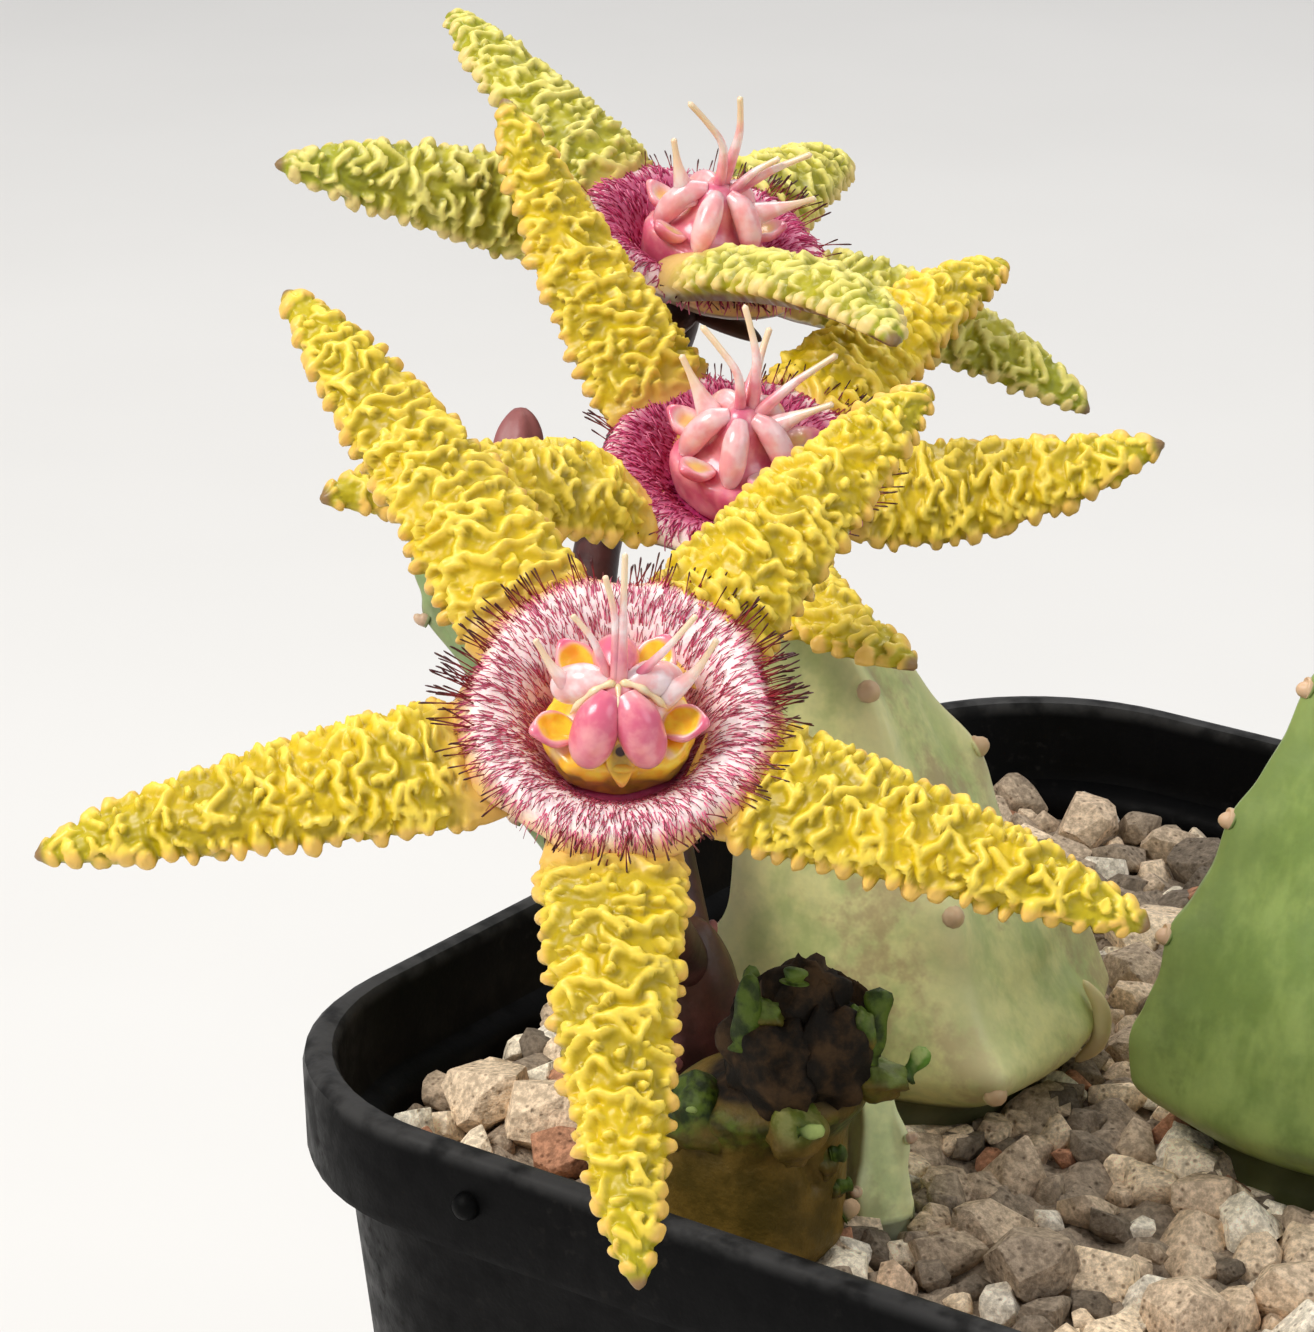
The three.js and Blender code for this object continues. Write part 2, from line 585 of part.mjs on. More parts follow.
function makeStalk(groups) {
  const { top, fork, radius, neck, stalkSides, rings, ways } = STALK;
  const parts = [stemShape(STALK)];
  const root = vector(top[0], top[1], fork);
  FLOWERS.forEach((flower, i) => {
    const { matrix } = groups[i];
    const local = (z) => vector(0, 0, z).applyMatrix4(matrix);
    const path = [root, vector(...ways[flower.name]), local(-neck - 1.6), local(-neck)];
    parts.push(stick(path, (t) => radius * mix(1.1, 0.9, t), stalkSides, rings));
    parts.push(...calyx(flower).map((shape) => shape.applyMatrix4(matrix)));
  });
  const budFoot = vector(...BUD.foot).lerp(vector(...BUD.tip), 0.15);
  parts.push(stick([root, vector(...BUD.way), budFoot], (t) => radius * mix(0.8, 0.7, t), stalkSides, rings));
  parts.push(bud());
  return piece('flower_stalk', toGeometry(joined(parts)), COLOURS.stalk, 0.6);
}

// The whole plant in its pot

const plant = new THREE.Group();
plant.add(makePot(), makeGrit());
for (const [name, stem] of Object.entries(STEMS)) plant.add(makeStem(name, stem));
const groups = FLOWERS.map(flowerGroup);
plant.add(makeStalk(groups));
FLOWERS.forEach((flower, i) => {
  groups[i].add(makeCorolla(flower), makeCrown(flower));
  plant.add(groups[i]);
});

export default plant;
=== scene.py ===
import random
from math import atan2, cos, degrees, exp, floor, hypot, pi, radians, sin, sqrt
import bpy
from mathutils import Matrix, Vector, noise


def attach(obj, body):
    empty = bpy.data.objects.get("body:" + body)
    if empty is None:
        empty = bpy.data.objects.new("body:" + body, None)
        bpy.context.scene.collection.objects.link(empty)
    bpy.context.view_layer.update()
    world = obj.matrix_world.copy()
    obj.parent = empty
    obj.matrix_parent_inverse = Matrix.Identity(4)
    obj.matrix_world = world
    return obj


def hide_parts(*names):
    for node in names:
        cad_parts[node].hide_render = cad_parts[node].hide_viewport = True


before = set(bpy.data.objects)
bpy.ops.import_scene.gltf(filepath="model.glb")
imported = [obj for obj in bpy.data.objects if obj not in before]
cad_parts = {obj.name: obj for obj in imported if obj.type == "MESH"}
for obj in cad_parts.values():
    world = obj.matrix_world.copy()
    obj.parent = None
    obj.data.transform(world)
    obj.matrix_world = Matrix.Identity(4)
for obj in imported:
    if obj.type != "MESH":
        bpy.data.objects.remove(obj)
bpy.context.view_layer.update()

# Lengths are in millimetres until a mesh is made. +Z is up, and the pot's sides run
# along X and Y. Each flower is made in its own frame, with the face along local +Z.
mm = 0.001
print("potted stapelia: frame loaded")


# Small sums

def mix(a, b, share):
    return a + (b - a) * share


def ramp(low, high, value):  # smooth step from 0 to 1
    s = min(max((value - low) / (high - low), 0.0), 1.0)
    return s * s * (3 - 2 * s)


def passing(stops, at):  # goes smoothly from each stop's value to the next one's
    after = next(k for k in range(1, len(stops)) if at <= stops[k][0])
    (low, first), (high, second) = stops[after - 1:after + 1]
    return mix(first, second, ramp(low, high, at))


def blunt(t, start, power=2):  # 1 along a rod, then closing to 0 like the end of a ball
    return sqrt(max(0.0, 1 - max(0.0, (t - start) / (1 - start)) ** power))


def draw(a, b, c):  # a number from 0 to 1 that depends only on the three given
    wave = sin(a * 12.9898 + b * 78.233 + c * 37.719 + 4.1) * 43758.5453
    return wave - floor(wave)


def polar(heading, radius, z=0.0):
    return Vector((radius * cos(radians(heading)), radius * sin(radians(heading)), z))


def fromHeading(turn, heading):  # a turn in radians, as degrees away from a heading
    return (degrees(turn) - heading + 180) % 360 - 180


def turned(angle, axis):
    return Matrix.Rotation(radians(angle), 4, axis)


def wobble(x, y, z):
    return noise.noise(Vector((x, y, z)))


def onBall(turn, t):
    ring = sin(pi * t)
    return ring * cos(turn), ring * sin(turn), -cos(pi * t)


def onCurve(points, t):  # a smooth curve through the points
    spans = len(points) - 1
    at = min(int(t * spans), spans - 1)
    w = t * spans - at
    p1, p2 = points[at], points[at + 1]
    p0 = points[at - 1] if at > 0 else 2 * p1 - p2
    p3 = points[at + 2] if at + 2 <= spans else 2 * p2 - p1
    d0, d1, d2 = (sqrt(max((b - a).length, 1e-6)) for a, b in ((p0, p1), (p1, p2), (p2, p3)))
    m1 = ((p1 - p0) / d0 - (p2 - p0) / (d0 + d1) + (p2 - p1) / d1) * d1
    m2 = ((p2 - p1) / d1 - (p3 - p1) / (d1 + d2) + (p3 - p2) / d2) * d1
    return p1 + m1 * w + (3 * (p2 - p1) - 2 * m1 - m2) * w ** 2 + (2 * (p1 - p2) + m1 + m2) * w ** 3


# Modelling steps

def clearSelection():
    if bpy.context.object and bpy.context.object.mode != "OBJECT":
        endEdit()
    bpy.ops.object.select_all(action="DESELECT")


def pick(*pieces):
    clearSelection()
    for piece in pieces:
        piece.select_set(True)
    bpy.context.view_layer.objects.active = pieces[0]


def selectAll():
    bpy.ops.mesh.select_all(action="SELECT")


def startEdit():
    bpy.ops.object.mode_set(mode="EDIT")
    selectAll()


def endEdit():
    bpy.ops.object.mode_set(mode="OBJECT")


def applyPlace():
    bpy.ops.object.transform_apply(location=True, rotation=True, scale=True)
    return bpy.context.object


def addModifier(piece, kind, **settings):
    pick(piece)
    modifier = piece.modifiers.new(kind.lower(), kind)
    for key, value in settings.items():
        setattr(modifier, key, value)
    bpy.ops.object.modifier_apply(modifier=modifier.name)


def setMarks(piece, values):  # three numbers at each point, for the finishes to read
    stored = piece.data.attributes.get("marks") or piece.data.attributes.new("marks", "FLOAT_COLOR", "POINT")
    stored.data.foreach_set("color", [number for value in values for number in (*value, 1.0)])


def markAll(piece, value):
    setMarks(piece, [value] * len(piece.data.vertices))


def shapedBall(name, sides, rows, place):
    # A ball whose points are carried to place(turn, t): turn runs round it, and t
    # runs from 0 at its lower pole to 1 at the upper one, in equal rings.
    clearSelection()
    bpy.ops.mesh.primitive_uv_sphere_add(segments=sides, ring_count=rows, radius=1)
    piece = bpy.context.object
    piece.name = piece.data.name = name
    marks = []
    for vertex in piece.data.vertices:
        x, y, z = vertex.co
        out = hypot(x, y)
        atPole = out < 1e-5
        t = (1.0 if z > 0 else 0.0) if atPole else 1 - atan2(out, z) / pi
        point, mark = place(0.0 if atPole else atan2(y, x) % (2 * pi), t)
        vertex.co = point * mm
        marks.append(mark)
    setMarks(piece, marks)
    return piece


def tube(name, points, radiusAt, sides, rows, marksAt, flatten=1.0, reference=None):
    # A round rod along a smooth curve
    if reference is None:
        chord = points[-1] - points[0]
        reference = Vector((0, 0, 0))
        reference[min(range(3), key=lambda axis: abs(chord[axis]))] = 1.0

    def place(turn, t):
        centre = onCurve(points, t)
        if t <= 0 or t >= 1:
            return centre, marksAt(t)
        along = (onCurve(points, min(t + 0.01, 1)) - onCurve(points, max(t - 0.01, 0))).normalized()
        side = reference.cross(along).normalized()
        up = along.cross(side)
        radius = radiusAt(t)
        return centre + side * (radius * cos(turn)) + up * (radius * flatten * sin(turn)), marksAt(t)
    return shapedBall(name, sides, rows, place)


def moveMesh(piece, matrix):  # the matrix is in millimetres
    inMetres = matrix.copy()
    inMetres.translation = matrix.translation * mm
    piece.data.transform(inMetres)
    return piece


def copyOf(pattern, matrix):
    # A pattern is a metre across, so that its copies are shrunk to millimetres here
    copied = pattern.copy()
    copied.data = pattern.data.copy()
    bpy.context.scene.collection.objects.link(copied)
    return moveMesh(copied, matrix @ Matrix.Scale(mm, 4))


def joinPieces(name, pieces):
    pick(*pieces)
    if len(pieces) > 1:
        bpy.ops.object.join()
    whole = bpy.context.object
    whole.name = whole.data.name = name
    return whole


def finishPiece(piece, material, slot, nodes=(), smooth=180):
    pick(piece)
    startEdit()
    bpy.ops.mesh.normals_make_consistent(inside=False)
    endEdit()
    if smooth >= 180:
        bpy.ops.object.shade_smooth()
    else:
        bpy.ops.object.shade_smooth_by_angle(angle=radians(smooth))
    piece.data.materials.clear()
    piece.data.materials.append(material)
    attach(piece, "root")
    if nodes:
        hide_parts(*nodes)
    print("made", piece.name, len(piece.data.polygons), "faces")


# Finishes

class Wire:  # one socket of a finish, so that sums can be written as sums
    def __init__(self, finish, socket):
        self.finish = finish
        self.socket = socket

    def maths(self, operation, first, second):
        return self.finish.node("ShaderNodeMath", {"operation": operation}, {0: first, 1: second})

    def __add__(self, other):
        return self.maths("ADD", self, other)

    def __radd__(self, other):
        return self.maths("ADD", other, self)

    def __sub__(self, other):
        return self.maths("SUBTRACT", self, other)

    def __rsub__(self, other):
        return self.maths("SUBTRACT", other, self)

    def __mul__(self, other):
        return self.maths("MULTIPLY", self, other)

    def __rmul__(self, other):
        return self.maths("MULTIPLY", other, self)


class Finish:  # one material
    def __init__(self, name, **constants):
        self.material = bpy.data.materials.new(name)
        self.material.use_nodes = True
        self.tree = self.material.node_tree
        self.shader = self.tree.nodes["Principled BSDF"]
        self.place = self.node("ShaderNodeTexCoord", output="Object")
        self.set(**constants)

    def node(self, kind, settings=None, inputs=None, output=0):
        made = self.tree.nodes.new(kind)
        for key, value in (settings or {}).items():
            if key == "stops":
                for at, (position, colour) in enumerate(value):
                    stop = made.color_ramp.elements[at] if at < 2 else made.color_ramp.elements.new(position)
                    stop.position, stop.color = position, (*colour, 1.0)
            else:
                setattr(made, key, value)
        for key, value in (inputs or {}).items():
            self.feed(made.inputs[key], value)
        return Wire(self, made.outputs[output])

    def feed(self, socket, value):
        if isinstance(value, Wire):
            self.tree.links.new(value.socket, socket)
        elif isinstance(value, tuple) and len(value) == 3 and socket.type == "RGBA":
            socket.default_value = (*value, 1.0)
        else:
            socket.default_value = value

    def marks(self):
        colour = self.node("ShaderNodeAttribute", {"attribute_name": "marks"}, output="Color")
        split = self.node("ShaderNodeSeparateColor", {}, {0: colour}).socket.node
        return [Wire(self, split.outputs[i]) for i in range(3)]

    def grain(self, size, detail=2.0, roughness=0.5, stretch=None, offset=None):
        # Noise whose blotches are about "size" millimetres across
        where = self.place
        if stretch or offset:
            where = self.node("ShaderNodeMapping", {}, {
                "Vector": where, "Scale": stretch or (1, 1, 1), "Location": offset or (0, 0, 0)})
        return self.node("ShaderNodeTexNoise", {}, {
            "Vector": where, "Scale": 1000 / size, "Detail": detail, "Roughness": roughness}, "Fac")

    def step(self, value, low, high, start=0.0, end=1.0):
        return self.node("ShaderNodeMapRange", {"interpolation_type": "SMOOTHSTEP"}, {
            "Value": value, "From Min": low, "From Max": high, "To Min": start, "To Max": end})

    def patches(self, low, high, size, detail=2.0, roughness=0.5, start=0.0, end=1.0, **where):
        return self.step(self.grain(size, detail, roughness, **where), low, high, start, end)

    def blend(self, share, first, second, mode="MIX"):
        return self.node("ShaderNodeMix", {"data_type": "RGBA", "blend_type": mode}, {
            0: share, 6: first, 7: second}, 2)

    def tint(self, colour, factors):
        return self.blend(1.0, colour, factors, "MULTIPLY")

    def mottle(self, first, second, *patches):  # two colours, the second one in patches
        return self.blend(self.patches(*patches), first, second)

    def colourRamp(self, value, *stops):  # the first two stops are the ends
        return self.node("ShaderNodeValToRGB", {"stops": stops}, {0: value})

    def bump(self, height, strength, depth, after=None):
        inputs = {"Height": height, "Strength": strength, "Distance": depth * mm}
        if after:
            inputs["Normal"] = after
        return self.node("ShaderNodeBump", {}, inputs, "Normal")

    def bumps(self, *layers, after=None):  # layers of (strength, depth, size and detail of the grain)
        for strength, depth, *grain in layers:
            after = self.bump(self.grain(*grain), strength, depth, after)
        return after

    def set(self, **inputs):
        for key, value in inputs.items():
            self.feed(self.shader.inputs[key.replace("_", " ")], value)
        return self.material


# Camera, at the photo's angle: 36 degrees round from the pot's front, 20 degrees down

view = {"lens": 121.62, "sensor": 36, "location": (85.84, -154.54, 137.31), "pitch": 69.90, "azimuth": 36.44}
cameraData = bpy.data.cameras.new("camera")
cameraData.lens = view["lens"]
cameraData.sensor_width = view["sensor"]
cameraData.clip_start = 0.01
camera = bpy.data.objects.new("camera", cameraData)
camera.location = Vector(view["location"]) * mm
camera.rotation_euler = (radians(view["pitch"]), 0, radians(view["azimuth"]))
bpy.context.scene.collection.objects.link(camera)
bpy.context.scene.camera = camera

# Soft studio light round the plant: heading, height angle, distance, size, power, colour
lamps = {
    "key": (-28, 48, 0.62, 0.34, 3.6, (1.0, 0.97, 0.92)),
    "fill": (95, 30, 0.75, 0.50, 1.3, (0.94, 0.97, 1.0)),
    "back": (205, 55, 0.70, 0.40, 2.0, (1.0, 0.98, 0.95)),
}
aim = Vector((0.0, -0.005, 0.065))
for name, (heading, up, far, size, power, colour) in lamps.items():
    data = bpy.data.lights.new(name, "AREA")
    data.shape, data.size, data.energy, data.color = "DISK", size, power, colour
    lamp = bpy.data.objects.new(name, data)
    away = polar(heading - 90, cos(radians(up)), sin(radians(up)))
    lamp.location = aim + away * far
    lamp.rotation_euler = away.to_track_quat("Z", "Y").to_euler()
    bpy.context.scene.collection.objects.link(lamp)

studio = {"sky": (0.93, 0.95, 1.0, 1.0), "strength": 0.42, "floorSize": 3, "floorZ": -0.00005}
world = bpy.data.worlds.new("studio")
world.use_nodes = True
sky = world.node_tree.nodes["Background"]
sky.inputs["Color"].default_value = studio["sky"]
sky.inputs["Strength"].default_value = studio["strength"]
bpy.context.scene.world = world
bpy.context.scene.view_settings.view_transform = "Standard"

clearSelection()
bpy.ops.mesh.primitive_plane_add(size=studio["floorSize"], location=(0, 0, studio["floorZ"]))
studioFloor = bpy.context.object
studioFloor.name = "studio_floor"
floorFinish = Finish("studio_floor", Roughness=0.75)
studioFloor.data.materials.append(floorFinish.set(Base_Color=floorFinish.blend(
    floorFinish.grain(60, 3), (0.70, 0.69, 0.67), (0.76, 0.75, 0.73))))
print("camera, lamps and floor set")


# The pot: a square plate with round corners, pushed up ring by ring

pot = {
    "baseHalf": 23.1, "footHalf": 23.8, "collarHalf": 28.7, "collarZ": 53.2, "wall": 1.2, "floor": 1.5,
    "corner": 8.5, "cornerSteps": 14, "footCorner": 8.0, "collarCorner": 9.7,
    "drain": 2.6, "drainAt": 13.5, "drainCut": 6, "pip": 0.6, "pipAt": (-15.5, -30, 55.8), "smooth": 40,
    # half width and height of each ring, up the outside, over the rim and down the inside
    "rings": [
        (23.55, 0.12), (23.85, 0.45), (24.0, 1.0), (28.5, 52.0), (28.7, 53.05), (29.0, 53.22),
        (29.5, 53.3), (29.82, 53.5), (29.93, 53.9), (30.0, 57.3), (29.93, 57.72), (29.7, 57.94),
        (29.35, 58.0), (29.02, 57.9), (28.86, 57.6), (28.72, 54.6), (28.5, 54.05), (27.9, 53.75),
        (27.6, 53.4), (27.45, 52.8), (22.75, 2.2), (22.4, 1.6), (21.8, 1.5),
    ],
}


def potShell():
    half, z = pot["baseHalf"], 0.0
    clearSelection()
    bpy.ops.mesh.primitive_plane_add(size=2 * half * mm, location=(0, 0, 0))
    shell = bpy.context.object
    startEdit()
    bpy.ops.mesh.bevel(affect="VERTICES", offset=pot["corner"] * mm, segments=pot["cornerSteps"], profile=0.5)
    selectAll()
    for nextHalf, nextZ in pot["rings"]:
        bpy.ops.mesh.extrude_region_move(TRANSFORM_OT_translate={"value": (0, 0, (nextZ - z) * mm)})
        share = nextHalf / half
        bpy.ops.transform.resize(value=(share, share, 1), center_override=(0, 0, nextZ * mm))
        half, z = nextHalf, nextZ
    endEdit()
    return shell


def cutDrains(shell):
    drains = []
    for sx in (-1, 1):
        for sy in (-1, 1):
            clearSelection()
            bpy.ops.mesh.primitive_cylinder_add(
                vertices=48, radius=pot["drain"] * mm, depth=pot["drainCut"] * mm,
                location=(sx * pot["drainAt"] * mm, sy * pot["drainAt"] * mm, 0))
            drains.append(bpy.context.object)
    cutter = joinPieces("drain_cutter", drains)
    applyPlace()
    addModifier(shell, "BOOLEAN", operation="DIFFERENCE", object=cutter, solver="EXACT")
    bpy.data.objects.remove(cutter)


def plasticFinish():
    finish = Finish("black_plastic", Specular_IOR_Level=0.06)
    high = finish.node("ShaderNodeSeparateXYZ", {}, {0: finish.place}, 2)
    scuffs = finish.patches(0.56, 0.72, 2.6, 5, 0.7, stretch=(1, 1, 0.3))
    dust = finish.patches(0.55, 0.8, 0.5, 3) * finish.patches(0.42, 0.62, 9)
    # Lighter along the rim's top: partly rubbed wear, partly a painted highlight where the rim catches the
    # lamps
    rubbedAndSheen = finish.step(high, 57.2 * mm, 57.9 * mm) * finish.patches(0.3, 0.6, 1.4, 3, start=0.2, end=0.8)
    colour = finish.blend(scuffs * 0.35, (0.0018, 0.0018, 0.0019), (0.007, 0.0066, 0.006))
    colour = finish.blend(dust * 0.25, colour, (0.05, 0.045, 0.04))
    colour = finish.blend(rubbedAndSheen, colour, (0.055, 0.054, 0.053))
    return finish.set(
        Base_Color=colour, Normal=finish.bumps((0.35, 0.03, 0.22), (0.3, 0.15, 5)),
        Roughness=finish.patches(0.3, 0.7, 1.2, 3, start=0.36, end=0.55) + dust * 0.3)


def makePot():
    shell = potShell()
    cutDrains(shell)
    clearSelection()
    bpy.ops.mesh.primitive_uv_sphere_add(
        segments=24, ring_count=12, radius=pot["pip"] * mm, location=Vector(pot["pipAt"]) * mm)
    piece = joinPieces("square_pot", [shell, applyPlace()])
    markAll(piece, (0, 0, 0))
    finishPiece(piece, plasticFinish(), "pot_plastic", ["pot"], pot["smooth"])


makePot()


# The grit: a heaped bed with angular stones, the larger ones where the solid has them

grit = {
    "level": 53.4, "heap": 1.3, "heapAt": (-4, 2), "heapRadius": 26, "bump": 0.3, "shoulder": 1,
    "straight": 19, "sides": 96, "rows": 48, "smooth": 50,
    # for both kinds of stones: smallest and largest size, and the room that they keep,
    # by their size, to the wall, to the round corners, to each other and to the stems
    "stones": dict(count=58, tries=4000, seed=11, sizes=(2.3, 4.1), power=1, wall=0.75, corner=8.6,
                   cornerRoom=0.75, apart=0.46, stem="girth", stemShare=0.84, stemRoom=0.55),
    "chips": dict(count=640, tries=9000, seed=5, sizes=(1.0, 2.7), power=1.5, wall=0.55, corner=9.4,
                  cornerRoom=0.6, apart=0.36, stem="footRadius", stemShare=1, stemRoom=0.5),
    # how many patterns, the first one's number, broken corners, and width and steps of the worn edges
    "stonePatterns": (9, 20, 15, 0.05, 2), "chipPatterns": (10, 0, 9, 0.04, 1),
}
foot = {"depth": 11, "rise": 0.4, "rings": 3}
gap = 0.3


def insideHalf(z):
    return mix(pot["footHalf"], pot["collarHalf"], z / pot["collarZ"]) - pot["wall"]


def insideCorner(z):
    return mix(pot["footCorner"], pot["collarCorner"], z / pot["collarZ"]) - pot["wall"]


def gritHeight(x, y, bumps=True):
    out = hypot(x - grit["heapAt"][0], y - grit["heapAt"][1]) / grit["heapRadius"]
    bump = grit["bump"] * (sin(x * 1.9 + y * 0.7) + sin(y * 2.3 - x * 0.9)) if bumps else 0
    return grit["level"] + grit["heap"] * (1 - ramp(0.2, 1, out)) + bump


# The stems. The foot is the buried part, and the girth the largest radius. "square" is
# 0 for a round section and 1 for one with flat sides, and "turn" is where a rib stands.

stems = {
    "stem_front": dict(foot=(-7.0, -22.6), footRadius=2.6, top=(-4.6, -24.0, 65.4), girth=5.0),
    "stem_pale": dict(
        foot=(-4.2, -17.7), footRadius=1.6, top=(-4.5, -17.6, 60.6), bend=0.35, girth=1.65, waist=0.1,
        tip=0.45, square=0.9, turn=10, toothGap=4.0, tooth=0.5),
    "stem_middle": dict(
        foot=(-9.4, -6.8), footRadius=5.0, top=(-14.6, -8.2, 76.0), bend=0.35, girth=8.7, waist=0.16,
        tip=0.42, square=0.7, turn=55, toothGap=7.9, tooth=1.1, phase=0.145, ribBase=0.3,
        slim=[(0, 1.0), (0.15, 1.07), (0.33, 0.89), (0.5, 0.86), (0.75, 0.82), (1, 0.85)]),
    "stem_right": dict(
        foot=(8.6, -2.7), footRadius=4.8, top=(14.2, 1.6, 84.0), bend=0.35, girth=8.9, waist=0.12,
        tip=0.48, square=0.85, turn=36, toothGap=5.4, tooth=0.85, ribBase=0.72),
    "stem_left": dict(
        foot=(-22.2, -9.7), footRadius=1.9, top=(-33.2, -10.8, 74.4), bend=0.55, girth=2.7, waist=0.4,
        tip=0.6, square=0.8, turn=40, toothGap=4.4, tooth=0.8),
}
stalk = dict(
    foot=(-13.4, -17.4), footRadius=1.6, top=(-12.8, -18.6, 65.0), bend=0.35, girth=2.2, waist=0.55,
    tip=0.7, square=0.3, turn=15, toothGap=4, tooth=0.45)
everyStem = [*stems.values(), stalk]
for stem in everyStem:
    stem["ground"] = gritHeight(*stem["foot"], False)
    stem["height"] = stem["top"][2] - stem["ground"]


def gritBed():
    # Straight up the inside of the pot, then over the heap to its middle
    rows, top = grit["rows"], grit["level"] - grit["shoulder"]

    def place(turn, t):
        row = round(t * rows)
        z = pot["floor"] + gap if row <= 1 else top
        if row == 0:
            return Vector((0, 0, z)), (0, 0, 0)
        share = 1.0 if row <= 2 else 1 - (row - 2) / (rows - 2)
        half, corner = insideHalf(z) - gap, insideCorner(z) - gap
        x, y = cos(turn), sin(turn)
        reach = half / max(abs(x), abs(y))
        inner = half - corner
        if min(abs(x), abs(y)) * reach > inner:  # on a round corner
            a, b = x * x + y * y, (abs(x) + abs(y)) * inner
            reach = (b + sqrt(max(b * b - a * (2 * inner * inner - corner * corner), 0))) / a
        point = Vector((x * reach * share, y * reach * share, z))
        if row > 2:
            rough = 0.35 * wobble(point.x * 0.9, point.y * 0.9, 3.3)
            point.z = mix(top, gritHeight(point.x, point.y) - 0.35 + rough, ramp(0, 0.12, 1 - share))
        return point, (0.2, 0.5, 0)
    return shapedBall("grit_bed", grit["sides"], rows, place)


def stonePattern(index, corners, worn, segments):
    # An irregular stone: a block with its corners broken off and its edges worn
    clearSelection()
    bpy.ops.mesh.primitive_cube_add(size=1.1)
    piece = bpy.context.object
    startEdit()
    for cut in range(corners):
        # spread evenly round the stone, and each turned a little by chance
        high = 1 - 2 * (cut + 0.5) / corners
        ring, angle = sqrt(1 - high * high), cut * 2.4 + index
        chance = Vector([draw(index, cut, k) - 0.5 for k in (1, 2, 3)])
        way = (Vector((ring * cos(angle), ring * sin(angle), high)) + 0.7 * chance).normalized()
        selectAll()
        far = mix(0.37, 0.54, draw(index, cut, 4))
        bpy.ops.mesh.bisect(plane_co=way * far, plane_no=way, use_fill=True, clear_outer=True)
    endEdit()
    addModifier(piece, "BEVEL", width=worn, segments=segments, limit_method="ANGLE", angle_limit=radians(14))
    markAll(piece, (0, 0, 0))
    return piece


def layStone(pattern, at, turns, sizes, marks):
    place = Matrix.Translation(at)
    for turn, axis in zip(turns, "ZYX"):
        place = place @ Matrix.Rotation(turn, 4, axis)
    stone = copyOf(pattern, place @ Matrix.Diagonal((*sizes, 1)))
    markAll(stone, marks)
    return stone


def scatter(kind, placed):
    # Places for stones, clear of the pot, of the stems and of the stones before them
    found = 0
    for i in range(kind["tries"]):
        if found == kind["count"]:
            return
        size = mix(*kind["sizes"], draw(i, kind["seed"], 1) ** kind["power"])
        reach = insideHalf(grit["level"]) - gap - size * kind["wall"]
        x, y = ((2 * draw(i, kind["seed"], k) - 1) * reach for k in (2, 3))
        past = hypot(*(max(abs(way) - grit["straight"], 0) for way in (x, y)))
        if past >= kind["corner"] - size * kind["cornerRoom"]:
            continue
        if any(hypot(x - a, y - b) <= (size + other) * kind["apart"] for a, b, other in placed):
            continue
        if all(hypot(*(at - mix(low, high, 0.1) for at, low, high in zip((x, y), stem["foot"], stem["top"])))
               > stem[kind["stem"]] * kind["stemShare"] + size * kind["stemRoom"] for stem in everyStem):
            placed.append((x, y, size))
            found += 1
            yield i, x, y, size


def layGrit(stonePatterns, chipPatterns):
    parts, placed = [gritBed()], []
    for i, x, y, size in scatter(grit["stones"], placed):
        z = gritHeight(x, y, False) + size * mix(-0.05, 0.2, draw(i, 6, 0))
        ranges = ((1, 0.95, 1.3), (2, 0.8, 1.05), (3, 0.6, 0.85))
        sizes = [size * mix(low, high, draw(i, k, 0)) for k, low, high in ranges]
        turns = (draw(i, 5, 0) * 2 * pi, (draw(i, 7, 0) - 0.5) * 0.6, (draw(i, 4, 0) - 0.5) * 0.8)
        parts.append(layStone(stonePatterns[i % len(stonePatterns)], (x, y, z), turns, sizes,
                              (draw(i, 8, 0), draw(i, 9, 0), 0)))
    for i, x, y, size in scatter(grit["chips"], placed):
        z = gritHeight(x, y, False) - 0.25 + size * mix(-0.1, 0.22, draw(i, 5, 4))
        sizes = (size * mix(0.95, 1.35, draw(i, 5, 8)), size, size * mix(0.65, 0.95, draw(i, 5, 9)))
        turns = (draw(i, 5, 5) * 6.28, (draw(i, 5, 6) - 0.5) * 1.6, (draw(i, 5, 7) - 0.5) * 1.6)
        parts.append(layStone(chipPatterns[i % len(chipPatterns)], (x, y, z), turns, sizes,
                              (draw(i, 6, 1), draw(i, 6, 2), 0)))
    for stem in everyStem:  # and a ring of small ones close round each foot
        around = round(2 * pi * (stem["footRadius"] + 0.8) / 1.3)
        for k in range(2 * around):
            size = mix(1.2, 2.2, draw(k, stem["girth"], 3))
            far = stem["footRadius"] + 0.35 + size * 0.5 + 0.9 * draw(k, stem["girth"], 5)
            spot = Vector((*stem["foot"], 0)) + polar(360 * (k + draw(k, stem["girth"], 4)) / around, far)
            if max(abs(spot.x), abs(spot.y)) <= insideHalf(grit["level"]) - gap - size * 0.6:
                spot.z = gritHeight(spot.x, spot.y, False) + 0.15
                turns = (draw(k, 7, 5) * 6.28, (draw(k, 7, 6) - 0.5) * 1.6, 0)
                sizes = (size * 1.1, size, size * 0.75)
                parts.append(layStone(chipPatterns[k % len(chipPatterns)], spot, turns, sizes,
                                      (draw(k, 8, stem["girth"]), draw(k, 9, 2), 0)))
    return joinPieces("grit_bed", parts)


